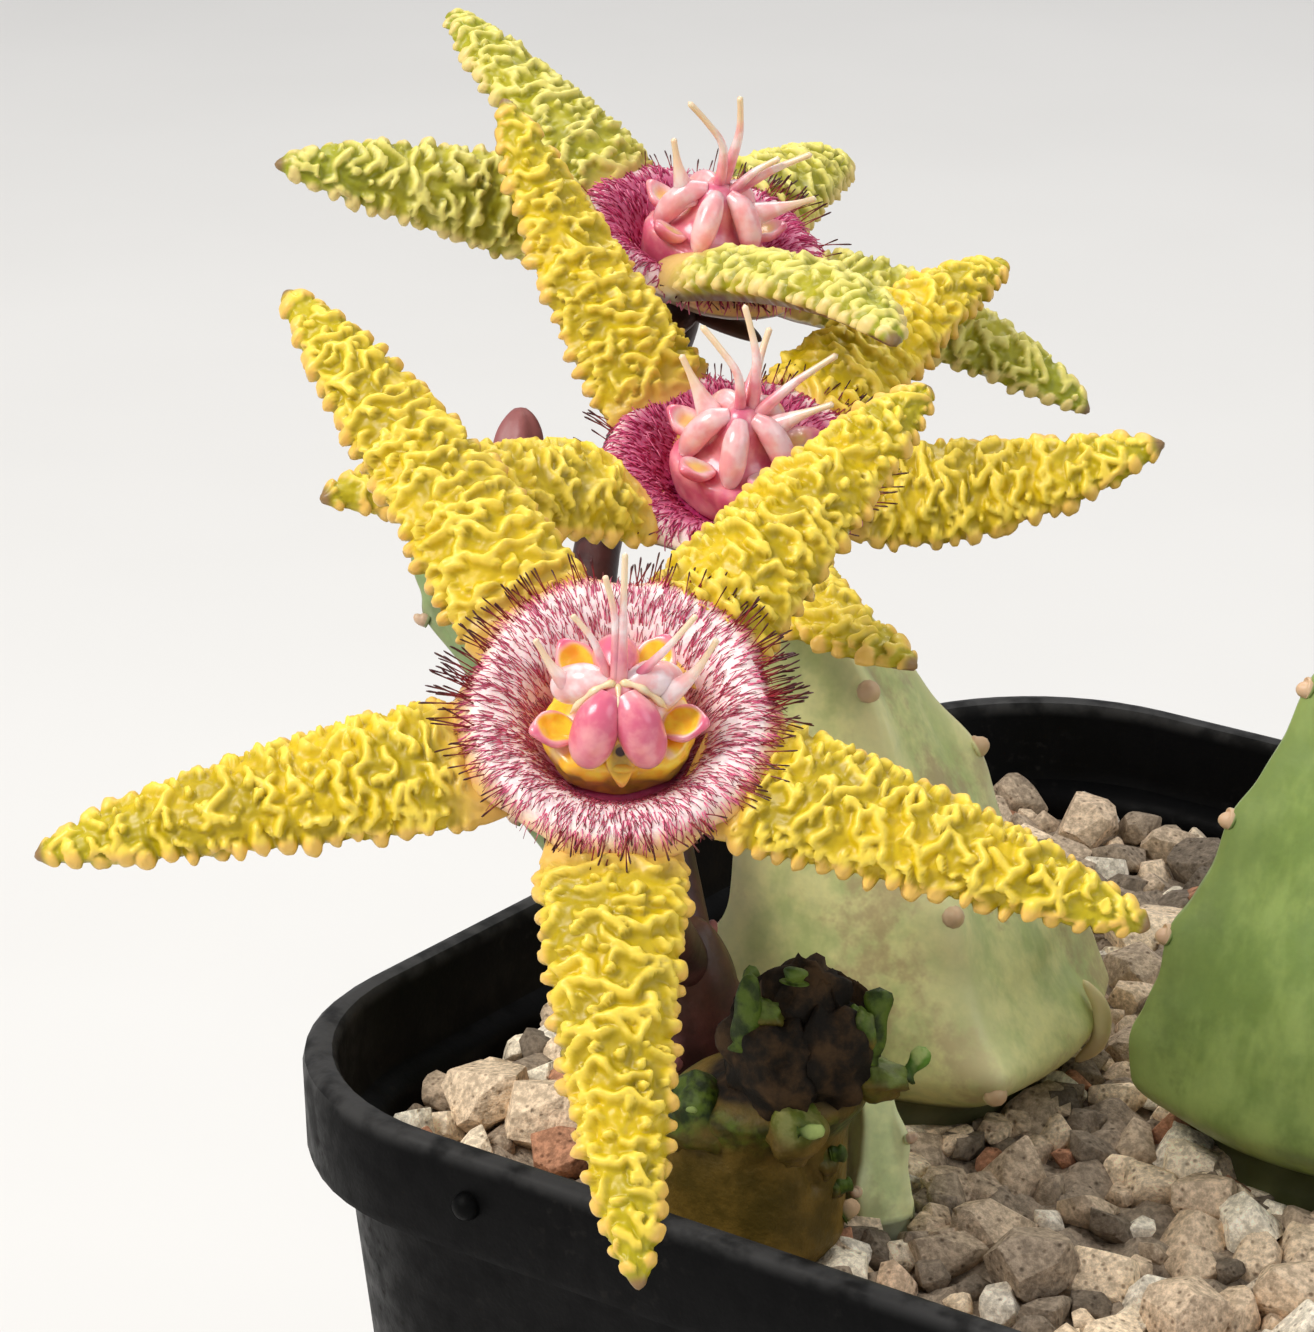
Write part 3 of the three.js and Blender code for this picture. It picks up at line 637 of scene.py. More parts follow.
def gritFinish():
    finish = Finish("dry_grit", Specular_IOR_Level=0.25)
    shade, kind, _ = finish.marks()
    colour = finish.colourRamp(
        shade, (0.0, (0.16, 0.13, 0.10)), (1.0, (1.0, 0.95, 0.80)), (0.2, (0.36, 0.29, 0.22)),
        (0.45, (0.74, 0.58, 0.42)), (0.8, (1.0, 0.82, 0.60)))
    colour = finish.blend(finish.step(kind, 0.93, 0.95), colour, (0.50, 0.25, 0.15))
    colour = finish.blend(finish.step(kind, 0.07, 0.05), colour, (0.95, 0.88, 0.75))
    colour = finish.blend(finish.patches(0.35, 0.7, 0.35, 4, 0.7), finish.tint(colour, (0.62, 0.60, 0.57)),
                          finish.tint(colour, (1.25, 1.22, 1.18)))
    cells = finish.node(
        "ShaderNodeTexVoronoi", {}, {"Vector": finish.place, "Scale": 1000 / 0.45}, "Distance")
    pits = finish.step(cells, 0.05, 0.3)
    colour = finish.blend(1 - pits, colour, finish.tint(colour, (0.45, 0.42, 0.4)))
    texture = finish.bumps((0.8, 0.35, 0.9, 5, 0.65), after=finish.bump(pits, 0.5, 0.12))
    return finish.set(Base_Color=colour, Normal=texture, Roughness=0.92)


def makeGrit():
    patterns = [[stonePattern(first + index, *kind) for index in range(count)]
                for count, first, *kind in (grit["stonePatterns"], grit["chipPatterns"])]
    piece = layGrit(*patterns)
    for pattern in patterns[0] + patterns[1]:
        bpy.data.objects.remove(pattern)
    finishPiece(piece, gritFinish(), "grit_stone", ["grit"], grit["smooth"])


makeGrit()


def footRing(stem, turn, row):  # the first rings of a stem, buried in the grit
    x, y = stem["foot"]
    buried = grit["level"] - foot["depth"]
    if row == 0:
        return Vector((x, y, buried))
    z = (buried, mix(buried, stem["ground"], 0.5), stem["ground"] + foot["rise"])[row - 1]
    return Vector((x + stem["footRadius"] * cos(turn), y + stem["footRadius"] * sin(turn), z))


def stemSurface(stem, turn, s, lumps=0.0):
    # A point on a stem's skin, how near it is to a rib, and how far up a tooth it is
    start = Vector((*stem["foot"], stem["ground"]))
    knee = Vector((*stem["foot"], stem["ground"] + stem["height"] * stem["bend"]))
    k = mix(0.05, 1, s)
    centre = start * (1 - k) ** 2 + knee * (2 * k * (1 - k)) + Vector(stem["top"]) * k ** 2
    swell = mix(stem["footRadius"] * 1.1, stem["girth"], sqrt(ramp(0, stem["waist"], s)))
    taper = mix(1, stem["tip"], ramp(stem["waist"], 1.05, s))
    closing = blunt(s, 0.78)
    around = turn - radians(stem["turn"])
    fromRib = (around / (pi / 2) + 0.5) % 1 - 0.5
    flat = sqrt(0.5) / cos(pi / 4 - abs(fromRib) * pi / 2)
    section = mix(1, mix(flat, 0.87, 0.35), stem["square"])
    pair = stem.get("phase", 0) + (0.0 if abs(cos(around)) > sqrt(0.5) else 0.5)
    phase = s * stem["height"] / stem["toothGap"] + pair
    knob = max(0.0, cos(pi * (phase - round(phase)) * 1.3)) ** 2
    onRib = max(0.0, 1 - abs(fromRib) * 4.2) ** 1.5 * ramp(0.02, 0.2, s)
    base = stem.get("ribBase", 0.12)
    bead = stem["tooth"] * onRib * (base + (1 - base) * knob) * mix(0.35, 1, closing)
    size = swell * taper * closing * section + bead
    if "slim" in stem:  # narrower or fuller on the side that faces +X, +Y, by height
        size *= mix(1, passing(stem["slim"], s), max(0.0, cos(turn - radians(40))) ** 0.7)
    x, y = cos(turn), sin(turn)
    size *= 1 + lumps * wobble(x * 1.3, y * 1.3, s * stem["height"] * 0.25 + stem["girth"])
    point = centre + Vector((size * x, size * y, stem["tooth"] * 0.45 * knob * onRib))
    return point, onRib, knob


def stemBody(stem, sides, rows, lumps):
    def place(turn, t):
        row = round(t * rows)
        if row <= foot["rings"]:
            return footRing(stem, turn, row), (0, 0, 0)
        s = (row - foot["rings"]) / (rows - foot["rings"])
        point, onRib, knob = stemSurface(stem, turn, s, lumps)
        return point, (onRib, s, 0.3 * knob * onRib)
    return shapedBall("body", sides, rows, place)


def ribTooth(at, way, length, width, high):  # fleshy and blunt, and dry at its tip
    side = way.orthogonal().normalized()
    points = [at - way * length * 0.6, at, at + way * length * 0.5 + side * 0.03,
              at + way * length + Vector((0, 0, 0.1))]
    return tube("tooth", points, lambda t: width * mix(1, 0.55, ramp(0.4, 1, t)) * blunt(t, 0.75), 12, 12,
                lambda t: (1.0, high, ramp(0.02, 0.42, t)))


def ribTeeth(stem, length, width, low=0.12, high=0.93):
    teeth = []
    for rib in range(4):
        turn = radians(stem["turn"]) + rib * pi / 2
        way = Vector((cos(turn), sin(turn), 0.45)).normalized()
        for n in range(1, round(stem["height"] / stem["toothGap"]) + 2):
            s = (n - stem.get("phase", 0) - rib % 2 * 0.5) * stem["toothGap"] / stem["height"]
            if low <= s <= high:
                point, _, _ = stemSurface(stem, turn, s)
                teeth.append(ribTooth(point - way * width * 0.5, way, length, width, s))
    return teeth


# How each stem is skinned: its colours, how far the blotch colour covers, how rough it is,
# the mesh's sides, rows and lumps, and its teeth's length, half width and lowest place

stemSkins = {
    "stem_middle": dict(
        finish="grey_green_skin", slot="stem_grey", base=(0.72, 0.70, 0.31), shade=(0.46, 0.52, 0.20),
        blotch=(0.42, 0.29, 0.15), blotched=0.7, rib=(0.85, 0.78, 0.42), tip=(0.62, 0.42, 0.24), rough=0.42,
        mesh=(96, 110, 0.05), teeth=(0.5, 0.5),
        scar=((-3.1, -4.2, 55.8), (-2.25, -3.8, 56.8), (-2.3, -3.5, 58.2), (-3.2, -3.6, 59.4))),
    "stem_right": dict(
        finish="mid_green_skin", slot="stem_green", base=(0.27, 0.36, 0.10), shade=(0.17, 0.25, 0.06),
        blotch=(0.12, 0.17, 0.045), blotched=0.55, rib=(0.24, 0.31, 0.10), tip=(0.66, 0.44, 0.27), rough=0.42,
        mesh=(96, 130, 0.04), teeth=(0.34, 0.46, 0.3), streak=(1, 1, 0.5)),
    "stem_left": dict(
        finish="left_green_skin", slot="stem_grey", base=(0.22, 0.30, 0.12), shade=(0.13, 0.20, 0.07),
        blotch=(0.10, 0.09, 0.05), blotched=0.4, rib=(0.34, 0.38, 0.20), tip=(0.60, 0.42, 0.28), rough=0.45,
        mesh=(48, 90, 0.05), teeth=(0.45, 0.3)),
    "stem_pale": dict(
        finish="pale_green_skin", slot="stem_grey", base=(0.85, 0.90, 0.46), shade=(0.62, 0.72, 0.34),
        blotch=(0.30, 0.26, 0.14), blotched=0.4, rib=(0.72, 0.72, 0.42), tip=(0.60, 0.42, 0.28), rough=0.45,
        mesh=(48, 60, 0.05), teeth=(0.35, 0.25)),
}


def stemFinish(skin):
    finish = Finish(skin["finish"], Specular_IOR_Level=0.4, Subsurface_Weight=0.06, Subsurface_Scale=0.0015)
    onRib, high, tip = finish.marks()
    mottled = finish.patches(0.38, 0.62, 3.2, 4, 0.6, stretch=skin.get("streak", (1, 1, 1)))
    colour = finish.blend(mottled, skin["shade"], skin["base"])
    fine = finish.patches(0.3, 0.7, 0.7, 4, 0.65)
    colour = finish.blend(fine * 0.35, colour, finish.tint(colour, (1.35, 1.3, 1.25)))
    blotched = finish.patches(0.50, 0.66, 4.5, 5, 0.7, offset=(0.011, 0.02, 0.003))
    colour = finish.blend(blotched * skin["blotched"], colour, skin["blotch"])
    colour = finish.blend(onRib * 0.55, colour, skin["rib"])
    colour = finish.blend(finish.step(tip, 0.35, 0.85), colour, skin["tip"])
    # Darker near the foot: painted shade under the overhanging body, over the brownish base these stems have
    colour = finish.blend(finish.step(high, 0.07, 0.0) * 0.8, colour, (0.045, 0.035, 0.018))
    return finish.set(
        Base_Color=colour, Normal=finish.bumps((0.25, 0.03, 0.28), (0.35, 0.18, 1.6, 3)),
        Roughness=finish.patches(0.3, 0.7, 1.1, 3, start=skin["rough"] - 0.08, end=skin["rough"] + 0.1))


def makeStem(name, skin):
    stem = stems[name]
    parts = [stemBody(stem, *skin["mesh"]), *ribTeeth(stem, *skin["teeth"])]
    if "scar" in skin:  # old and dry, on its right-hand rib
        points = [Vector(point) for point in skin["scar"]]
        parts.append(tube("scar", points, lambda t: 0.4 * sqrt(sin(pi * t) + 1e-9), 20, 24,
                          lambda t: (1.0, 0.4, 0.6)))
    finishPiece(joinPieces(name + "_skin", parts), stemFinish(skin), skin["slot"], [name])


for name, skin in stemSkins.items():
    makeStem(name, skin)


# The dark stem by the near rim: a smooth belly, swellings, and a shrivelled, torn top

frontStem = {
    "belly": 3.85, "neck": 3.0, "sink": 2.4, "top": (-4.34, -22.84), "sides": 130, "rows": 130,
    "facing": -53.56,  # the way that the teeth's flat sides look
    # the torn rim's height by heading
    "rim": [(-180, 65.3), (-135, 64.6), (-108, 64.8), (-90, 65.9), (-72, 67.2), (-40, 67.3), (-22, 66.7),
            (-8, 65.0), (15, 64.3), (70, 65.4), (120, 65.7), (180, 65.3)],
    # folds: from heading and height to heading and height, width, depth
    "folds": [
        ((-36, 65.4), (-62, 62.6), 0.42, 1.0), ((-150, 62.0), (-75, 61.7), 0.45, 0.35),
        ((-75, 61.7), (-20, 62.0), 0.4, 0.35), ((-97, 64.2), (-92, 63.9), 0.28, 0.55),
        ((-80, 65.6), (-84, 63.0), 0.3, 0.35), ((-20, 66.0), (-15, 63.6), 0.3, 0.4),
        ((20, 61.6), (160, 62.0), 0.5, 0.6), ((160, 62.0), (210, 62.0), 0.5, 0.6),
        ((-30, 60.0), (-12, 57.6), 0.3, 0.3)],
    # swellings: heading, height, distance, size outwards, across and up, how green, how pale on top
    "lumps": [
        (-41, 60.8, 3.7, 1.2, 1.15, 1.35, 0.1, 0.34), (-112, 60.3, 2.9, 1.8, 1.7, 1.6, 0.75, 0),
        (14, 62.3, 3.0, 1.7, 0.95, 0.85, 0.7, 0.3), (-1, 58.4, 3.5, 0.65, 0.6, 0.8, 0.6, 0.02),
        (9, 57.0, 3.5, 0.6, 0.5, 0.5, 0.6, 0.02), (-94, 65.4, 2.3, 0.5, 0.8, 0.6, 0.9, 0.14),
        (2, 64.4, 2.6, 0.65, 0.5, 1.2, 0.9, 0.22), (-106, 64.0, 2.5, 0.6, 0.7, 1.2, 0.8, 0.02),
        (-96, 63.2, 1.8, 1.55, 2.2, 2.3, 0, 0), (-22, 63.4, 1.6, 1.6, 1.9, 2.2, 0, 0),
        (-52, 65.4, 0.9, 1.1, 1.7, 1.9, 0, 0), (100, 60.8, 2.7, 1.4, 1.5, 1.4, 0.7, 0)],
    # leafy teeth: root and tip as heading, height and distance, half width at both, how pale, how tan
    "teeth": [
        ((-102, 64.4, 2.9), (-100, 67.2, 2.9), 0.72, 0.42, 0.05, 0),
        ((-66, 66.8, 1.9), (-63, 67.4, 2.0), 0.5, 0.4, 0.12, 0),
        ((5, 63.6, 3.0), (15, 66.2, 3.1), 0.36, 0.56, 0.05, 0),
        ((20, 62.5, 4.3), (27, 63.5, 4.8), 0.46, 0.36, 0.9, 0),
        ((-47, 61.45, 4.7), (-37, 61.55, 4.85), 0.3, 0.24, 1.0, 0),
        ((-106, 61.5, 4.65), (-103, 61.8, 4.9), 0.22, 0.16, 0.5, 0),
        ((-1, 58.8, 4.0), (5, 58.9, 4.4), 0.38, 0.3, 0.12, 0),
        ((8, 57.1, 3.9), (14, 57.2, 4.35), 0.32, 0.26, 0.12, 0),
        ((22, 55.5, 3.8), (28, 55.9, 4.3), 0.42, 0.36, 1.0, 1),
        ((165, 63.5, 2.6), (168, 65.6, 3.1), 0.6, 0.4, 0.1, 0),
        ((100, 61.4, 4.0), (100, 61.8, 4.5), 0.3, 0.2, 0.3, 0)],
}


def frontAxis(z):  # the middle of the dark stem at this height
    lean = ramp(58.8, 63.2, z)
    x, y = (mix(low, high, lean) for low, high in zip(stems["stem_front"]["foot"], frontStem["top"]))
    return Vector((x, y, z))


def foldDepth(turn, z, radius):
    depth = 0.0
    for (h0, z0), (h1, z1), width, deep in frontStem["folds"]:
        middle = (h0 + h1) / 2
        across = radius * radians(fromHeading(turn, middle))
        half = radius * radians(h1 - h0) / 2
        t = ((across + half) * 2 * half + (z - z0) * (z1 - z0)) / (4 * half * half + (z1 - z0) ** 2)
        t = min(max(t, 0), 1)
        away = hypot(across + half - 2 * half * t, z - z0 - (z1 - z0) * t)
        away += 0.12 * wobble(across * 1.3, z * 1.3, middle)
        depth = max(depth, deep * exp(-(max(away, 0) / width) ** 2))
    return depth


def frontBody(stem):
    rows, shoulder = frontStem["rows"], stem["top"][2] - 1.0

    def place(turn, t):
        row = round(t * rows)
        if row <= foot["rings"]:
            return footRing(stem, turn, row), (0, 0, 0)
        s = (row - foot["rings"]) / (rows - foot["rings"])
        inside = ramp(0.9, 1.0, s)  # past the torn rim the skin turns down into the dead middle
        z = mix(stem["ground"], shoulder, min(s / 0.9, 1.0))
        x, y = cos(turn), sin(turn)
        radius = mix(stem["footRadius"] * 1.1, frontStem["belly"], sqrt(ramp(0, 0.13, s)))
        upper = ramp(60.7, 62.3, z + 0.3 * wobble(x * 2, y * 2, 3))
        radius = mix(radius, frontStem["neck"], upper)
        rise = (passing(frontStem["rim"], fromHeading(turn, 0)) - shoulder) * ramp(0.62, 0.9, s)
        rise += (0.16 * wobble(x * 7, y * 7, 3) + 0.09 * wobble(x * 17, y * 17, 5)) * ramp(0.84, 0.9, s)
        radius -= 0.5 * max(rise, 0)
        high = z + rise
        radius += upper * (0.22 * wobble(x * 3, y * 3, high * 0.7) + 0.1 * wobble(x * 7, y * 7, high * 1.8))
        radius += 0.08 * wobble(x * 2, y * 2, z * 0.4)
        deep = foldDepth(turn, high, radius) * (1 - inside)
        radius = (radius - deep) * (1 - inside * 0.93)
        lifted = rise * (1 - inside) - frontStem["sink"] * inside
        point = frontAxis(z) + Vector((radius * x, radius * y, lifted))
        # The first mark is green on the upper barrel, partly painted shade under the neck. The second is the
        # withered top plus the fold depth, which paints shade into the creases
        return point, (0.6 * ramp(58.4, 60.4, z) * (1 - upper), upper + 0.8 * ramp(0.3, 0.9, deep), 0.0)
    return shapedBall("body", frontStem["sides"], rows, place)


def frontLump(heading, height, far, out, across, tall, green, pale):
    centre = frontAxis(height) + polar(heading, far)
    withered = ramp(61.8, 62.6, height) * (1 - green)

    def place(turn, t):
        x, y, z = onBall(turn, t)
        uneven = 1 + 0.3 * wobble(x * 1.5 + heading, y * 1.5, z * 1.5)
        uneven += (0.12 + 0.14 * withered) * wobble(x * 3.5 + heading, y * 3.5, z * 3)
        away = polar(heading, x * out) + polar(heading + 90, y * across) + Vector((0, 0, z * tall))
        topped = ramp(0.0, 0.7, z + 0.35 * x)
        return centre + away * uneven, (green * mix(0.55, 1, topped), withered, pale * topped)
    return shapedBall("swelling", 28, 22, place)


def leafyTooth(root, tip, rootWidth, tipWidth, pale, tan):  # broad, with a blunt end
    low, high = (frontAxis(z) + polar(heading, far) for heading, z, far in (root, tip))

    def radiusAt(t):
        uneven = 1 + 0.5 * wobble(t * 3.5, low.x * 3, low.y * 3)
        return mix(rootWidth, tipWidth, t) * blunt(t, 0.85) * uneven
    points = [low + (low - high) * 0.2, low, low.lerp(high, 0.5) + polar(root[0], 0.08), high]
    facing = frontStem["facing"] if abs(root[0]) < 120 else root[0]
    return tube("tooth", points, radiusAt, 14, 18, lambda t: (1.0, tan, pale * ramp(0.2, 0.8, t)),
                flatten=0.5, reference=polar(facing, 1))


def darkOliveFinish():
    finish = Finish("dark_olive_skin", Specular_IOR_Level=0.25)
    green, dry, tip = finish.marks()
    belly = finish.mottle((0.085, 0.056, 0.008), (0.19, 0.115, 0.020), 0.36, 0.64, 2.6, 4, 0.6)
    torn = finish.mottle((0.008, 0.005, 0.002), (0.065, 0.034, 0.012), 0.40, 0.68, 1.5, 5, 0.6)
    # Torn brown on the withered top and, as painted shade, in the deep folds; near black in the deepest folds
    # is painted shade
    colour = finish.blend(finish.step(dry + (finish.grain(1.3, 3) - 0.5) * 0.5, 0.3, 0.7), belly, torn)
    colour = finish.blend(finish.step(dry, 1.1, 1.5), colour, (0.005, 0.003, 0.002))
    # Dark green: the swellings' and teeth's own green, and on the barrel below the neck a painted shade
    leafy = finish.mottle((0.014, 0.026, 0.002), (0.080, 0.125, 0.010), 0.38, 0.62, 0.7, 4)
    colour = finish.blend(finish.step(green + (finish.grain(0.8, 3) - 0.5) * 0.6, 0.3, 0.75), colour, leafy)
    bright = finish.mottle((0.12, 0.27, 0.03), (0.42, 0.52, 0.16), 0.4, 0.6, 0.8, 3)
    colour = finish.blend(tip, colour, finish.blend(dry, bright, (0.66, 0.44, 0.26)))
    return finish.set(
        Base_Color=colour, Normal=finish.bumps((0.4, 0.05, 0.2, 3), (0.5, 0.25, 0.9, 5, 0.6)),
        Roughness=finish.step(dry, 0.2, 0.8, 0.5, 0.8))


def makeFrontStem():
    parts = [frontBody(stems["stem_front"])]
    parts += [frontLump(*values) for values in frontStem["lumps"]]
    parts += [leafyTooth(*values) for values in frontStem["teeth"]]
    finishPiece(joinPieces("stem_front_skin", parts), darkOliveFinish(), "stem_dark", ["stem_front"])


makeFrontStem()


# The flowers. An arm is [heading in the dish's plane, reach, lift of its tip, how far its
# middle bows up, how far it sways sideways, how far its face rolls over, and, where it
# leaves the dish askew, the heading of its root]. A horn is its root, middle, tip and radius.

flowers = [
    dict(name="front", centre=(-7.1, -31.6, 78.9), turn=36.4, rise=51, seed=1, sides=76, rows=230,
         petal="yellow_petal", slot="petal_yellow", disc="pink_disc", hair="maroon_hair",
         hairs=2800, rimHairs=220, hairWidth=1.0, crownAt=(0.33, 0), discAt=(0.36, 0.4, 1.035),
         lobeTurns={0: -9, 4: 3},
         arms=[(-87, 21.66, -2.2, 0.6, -0.35, 0), (-21, 21, -2.2, 0.5, -0.1, 0),
               (52.5, 20.3, -2.2, 0.6, 0.1, 0), (122, 24.4, -2.2, 0.5, -0.2, 0),
               (192.4, 21.5, -2.2, 0.5, 0.1, 0)],
         horns=[((0.1, 0, 2.2), (0.2, 1.55, 4.55), (0.28, 2.98, 6.6), 0.24),
                ((-0.1, 0, 2.2), (-0.1, 1.5, 4.5), (-0.45, 2.3, 6.15), 0.19),
                ((-0.3, 0.2, 2.2), (-0.9, 1.05, 3.75), (-1.65, 1.6, 4.6), 0.18),
                ((0.4, 0.2, 2.1), (1.75, 0.8, 3.55), (2.85, 1.6, 4.6), 0.2),
                ((-1.5, 0.1, 1.5), (-2.35, 0.55, 2.6), (-3.0, 1.2, 3.6), 0.44),
                ((1.7, 0, 1.5), (2.8, 0.4, 2.6), (3.6, 1.2, 3.6), 0.44)]),
    dict(name="middle", centre=(-17.9, -8.6, 80.9), turn=46, rise=66, seed=2, sides=56, rows=180,
         petal="yellow_petal", slot="petal_yellow", disc="magenta_disc", hair="magenta_hair",
         hairs=2700, rimHairs=190, hairWidth=1.9, crownAt=(0.2, 0.3), discAt=(0, 0, 1), lobeTurns={},
         arms=[(-77, 17.6, 4.2, 0.4, -2.0, 0), (-8, 17.8, 2.0, -1.5, 0.2, 24), (42, 19.5, -0.8, 0.7, 0.3, 0),
               (115, 18.6, 6.5, -0.3, 0.6, 0), (198, 18.9, 4.3, 0.8, 0.2, -12)],
         horns=[((-1.0, 0.5, 1.4), (-1.75, 1.2, 2.8), (-2.4, 2.0, 4.0), 0.52),
                ((-0.1, 0.1, 2.2), (-0.3, 0.55, 4.1), (-1.7, 1.9, 5.6), 0.21),
                ((0.4, 0.2, 2.2), (0.6, 1.1, 4.4), (0.15, 2.4, 6.2), 0.25),
                ((0.5, 0, 2.1), (2.1, 0.2, 3.7), (3.85, 0.35, 5.0), 0.24),
                ((1.0, -0.3, 1.6), (2.3, -0.6, 2.6), (3.6, -0.9, 3.4), 0.42),
                ((0.2, 0.6, 2.0), (0.9, 2.0, 3.2), (1.5, 3.0, 4.4), 0.3)]),
    dict(name="back", centre=(-27.9, 3.0, 86.8), turn=80, rise=70, seed=3, sides=52, rows=170,
         petal="green_yellow_petal", slot="petal_green_yellow", disc="magenta_disc", hair="magenta_hair",
         hairs=2300, rimHairs=170, hairWidth=1.9, crownAt=(-0.1, -0.3), discAt=(0, 0, 1), lobeTurns={},
         arms=[(-112, 18.6, 6.2, 1.0, 0.9, 0, -140), (-56, 18.8, -2.4, 0.8, 0.3, 15),
               (21, 16.8, -3, 0.6, 0, 0), (90, 18.35, 0.92, 0.6, 1.0, 0), (151, 19.8, 1.2, 0.8, 0.2, -40)],
         horns=[((-0.9, 0.7, 1.3), (-1.4, 1.35, 2.8), (-1.7, 1.9, 4.2), 0.5),
                ((0, 0.1, 2.2), (-0.25, 0.35, 4.5), (-1.75, 1.6, 6.2), 0.22),
                ((0.3, 0.2, 2.2), (0.75, 0.4, 4.8), (0.45, 0.7, 6.6), 0.25),
                ((0.4, -0.2, 2.1), (1.8, -1.2, 3.7), (2.95, -2.1, 4.8), 0.22),
                ((0.3, -0.3, 2.1), (1.05, -0.8, 3.5), (1.75, -1.4, 4.4), 0.2),
                ((1.4, -1.1, 1.4), (2.5, -1.95, 2.1), (3.5, -2.6, 2.7), 0.42)]),
]
arm = {
    "root": 3.3, "rootSink": 1.5, "halfWidth": 2.8, "height": 1.8, "under": 0.55, "backShare": 0.82,
    "ridgeGap": 0.84, "ridgeHeight": 0.42, "ridgeWidth": 0.18, "wander": 1.05, "knobGap": 0.84,
}
disc = {
    "depth": 1.5, "thick": 1.1, "notch": 0.45, "sides": 120, "rows": 60,
    # distance from the middle and height, from the middle of the face round the rim to that of the back
    "profile": [(0, -1.85), (2.35, -1.85), (2.8, -1.5), (3.3, -0.85), (3.9, -0.25), (4.5, 0.05), (5.1, 0.1),
                (5.65, -0.15), (5.95, -0.6), (5.7, -1.0), (4.2, -1.7), (2.2, -2.5), (0, -2.6)],
}
discLine = [Vector((r, 0, z)) for r, z in disc["profile"]]


def flowerFrame(flower):
    facing = turned(flower["turn"], "Z") @ turned(90 - flower["rise"], "X")
    return Matrix.Translation(flower["centre"]) @ facing


def crestLine(k, c, seed):  # how far along the arm the k-th wall stands, at c across it
    sway = wobble(c / 1.05, k * 5.13, seed) * 1.25 + wobble(c / 0.42, k * 3.71, seed + 9.5) * 0.42
    return (k + sway * arm["wander"]) * arm["ridgeGap"]


def ridges(a, c, half, seed):
    # The worm-like walls across an arm, from the distance a along it and c across it,
    # where "half" is from its middle to its margin along the skin
    best = 0.0
    near = floor(a / arm["ridgeGap"])
    for k in range(near - 1, near + 3):
        crest = crestLine(k, c, seed)
        if abs(a - crest) > 0.8:
            continue
        slope = (crestLine(k, c + 0.05, seed) - crest) / 0.05
        off = abs(a - crest) / sqrt(1 + slope * slope)
        wall = exp(-(off / arm["ridgeWidth"]) ** 2.4)
        if wall >= 0.02:
            keep = ramp(-0.26, -0.1, wobble(c / 0.9 + 31, k * 2.37, seed + 3.1))
            best = max(best, wall * keep * mix(0.6, 1.15, 0.5 + 0.9 * wobble(c / 0.45, k * 1.7, seed + 5)))
    # lone pimples and short links
    best = max(best, 0.85 * ramp(0.16, 0.36, wobble(a / 0.46, c / 0.46, seed + 21)))
    # round knobs of uneven size along the margin
    side = 1 if c > 0 else -1
    fromEdge = half - abs(c)
    if fromEdge < 1.2:
        where = a / arm["knobGap"] + side * 0.17
        knob = 0.0
        for number in (floor(where), floor(where) + 1):
            at = number + 0.42 * (draw(seed, number, side) - 0.5)
            size = mix(0.24, 0.42, draw(seed + 1, number, side))
            inward = mix(-0.15, 0.45, draw(seed + 2, number, side))
            off = hypot((where - at) * arm["knobGap"] / size, (fromEdge - inward) / (size * 1.5))
            knob = max(knob, max(0.0, 1 - off ** 3) ** 0.6 * mix(0.75, 1.35, draw(seed + 3, number, side)))
        best = max(best * ramp(-0.3, 0.7, fromEdge), knob)
    return best + 0.2 * wobble(a / 0.28, c / 0.28, seed + 33) + 0.22 * wobble(a / 0.7, c / 0.7, seed + 51)


def growArm(seed, sides, rows, heading, reach, lift, bow, sway, roll, rootHeading=None):
    askew = rootHeading is not None
    start = polar(rootHeading if askew else heading, arm["root"], -arm["rootSink"])
    end, across = polar(heading, reach, lift), polar(heading + 90, 1)
    length = (end - start).length

    def middle(t):
        return start.lerp(end, t) + (across * sway + Vector((0, 0, bow))) * (4 * t * (1 - t))

    def place(turn, t):
        centre = middle(t)
        if t <= 0 or t >= 1:
            return centre, (0, t, 0)
        along = (middle(min(t + 0.02, 1)) - middle(max(t - 0.02, 0))).normalized()
        up = along.cross(across).normalized()
        if up.z < 0:
            up.negate()
        facing = Matrix.Rotation(radians(roll) * ramp(0, 0.45, t), 3, along) @ up
        sideways = facing.cross(along).normalized()
        width = arm["halfWidth"] * (1 - t) ** 0.55 * mix(0.8, 1, ramp(0, 0.12, t))
        tall = arm["height"] * (1 - t) ** 0.45 * mix(1 if askew else 0.35, 1, ramp(0, 0.3, t))
        turn += 0.35 * cos(turn)  # more points on the face than on the back
        x, y = cos(turn), sin(turn)
        back = ramp(-0.02, -0.3, y)
        half = pi / 2 * sqrt((width ** 2 + tall ** 2) / 2)
        spread = (turn + pi / 2) % (2 * pi) - pi / 2  # -90 to 270 degrees
        c = max(-half * 1.15, min(half * 1.15, (0.5 - spread / pi) * 2 * half))
        fade = ramp(0.09, 0.17, t) * ramp(1.0, 0.96, t) * (1 - back)
        relief = ridges(t * length, c, half, seed) * fade if fade > 0 else 0.0
        raised = arm["ridgeHeight"] * relief * mix(0.55, 1, ramp(1, 0.75, t))
        raised += 0.06 * wobble(t * length / 1.8, c / 1.8, seed + 40) * (1 - back)
        arch = abs(y) ** 0.8
        wide = width * mix(1, arm["backShare"], back) * x
        high = mix(arch * tall, -arm["under"] * (1 - t) * mix(1, 0.45, arch) - 0.12, back)
        if y < 0 and back == 0:
            high = -arch * 0.3
        away = Vector((x, 0, max(y, -0.2) * 1.2)).normalized()
        margin = ramp(1.1, 0.2, half - abs(c)) * (1 - back)
        point = centre + sideways * (wide + away.x * raised) + facing * (high + away.z * raised)
        return point, (min(max(relief, 0.0), 1.0), t, mix(margin * 0.5, 1, back))
    return shapedBall("arm", sides, rows, place)


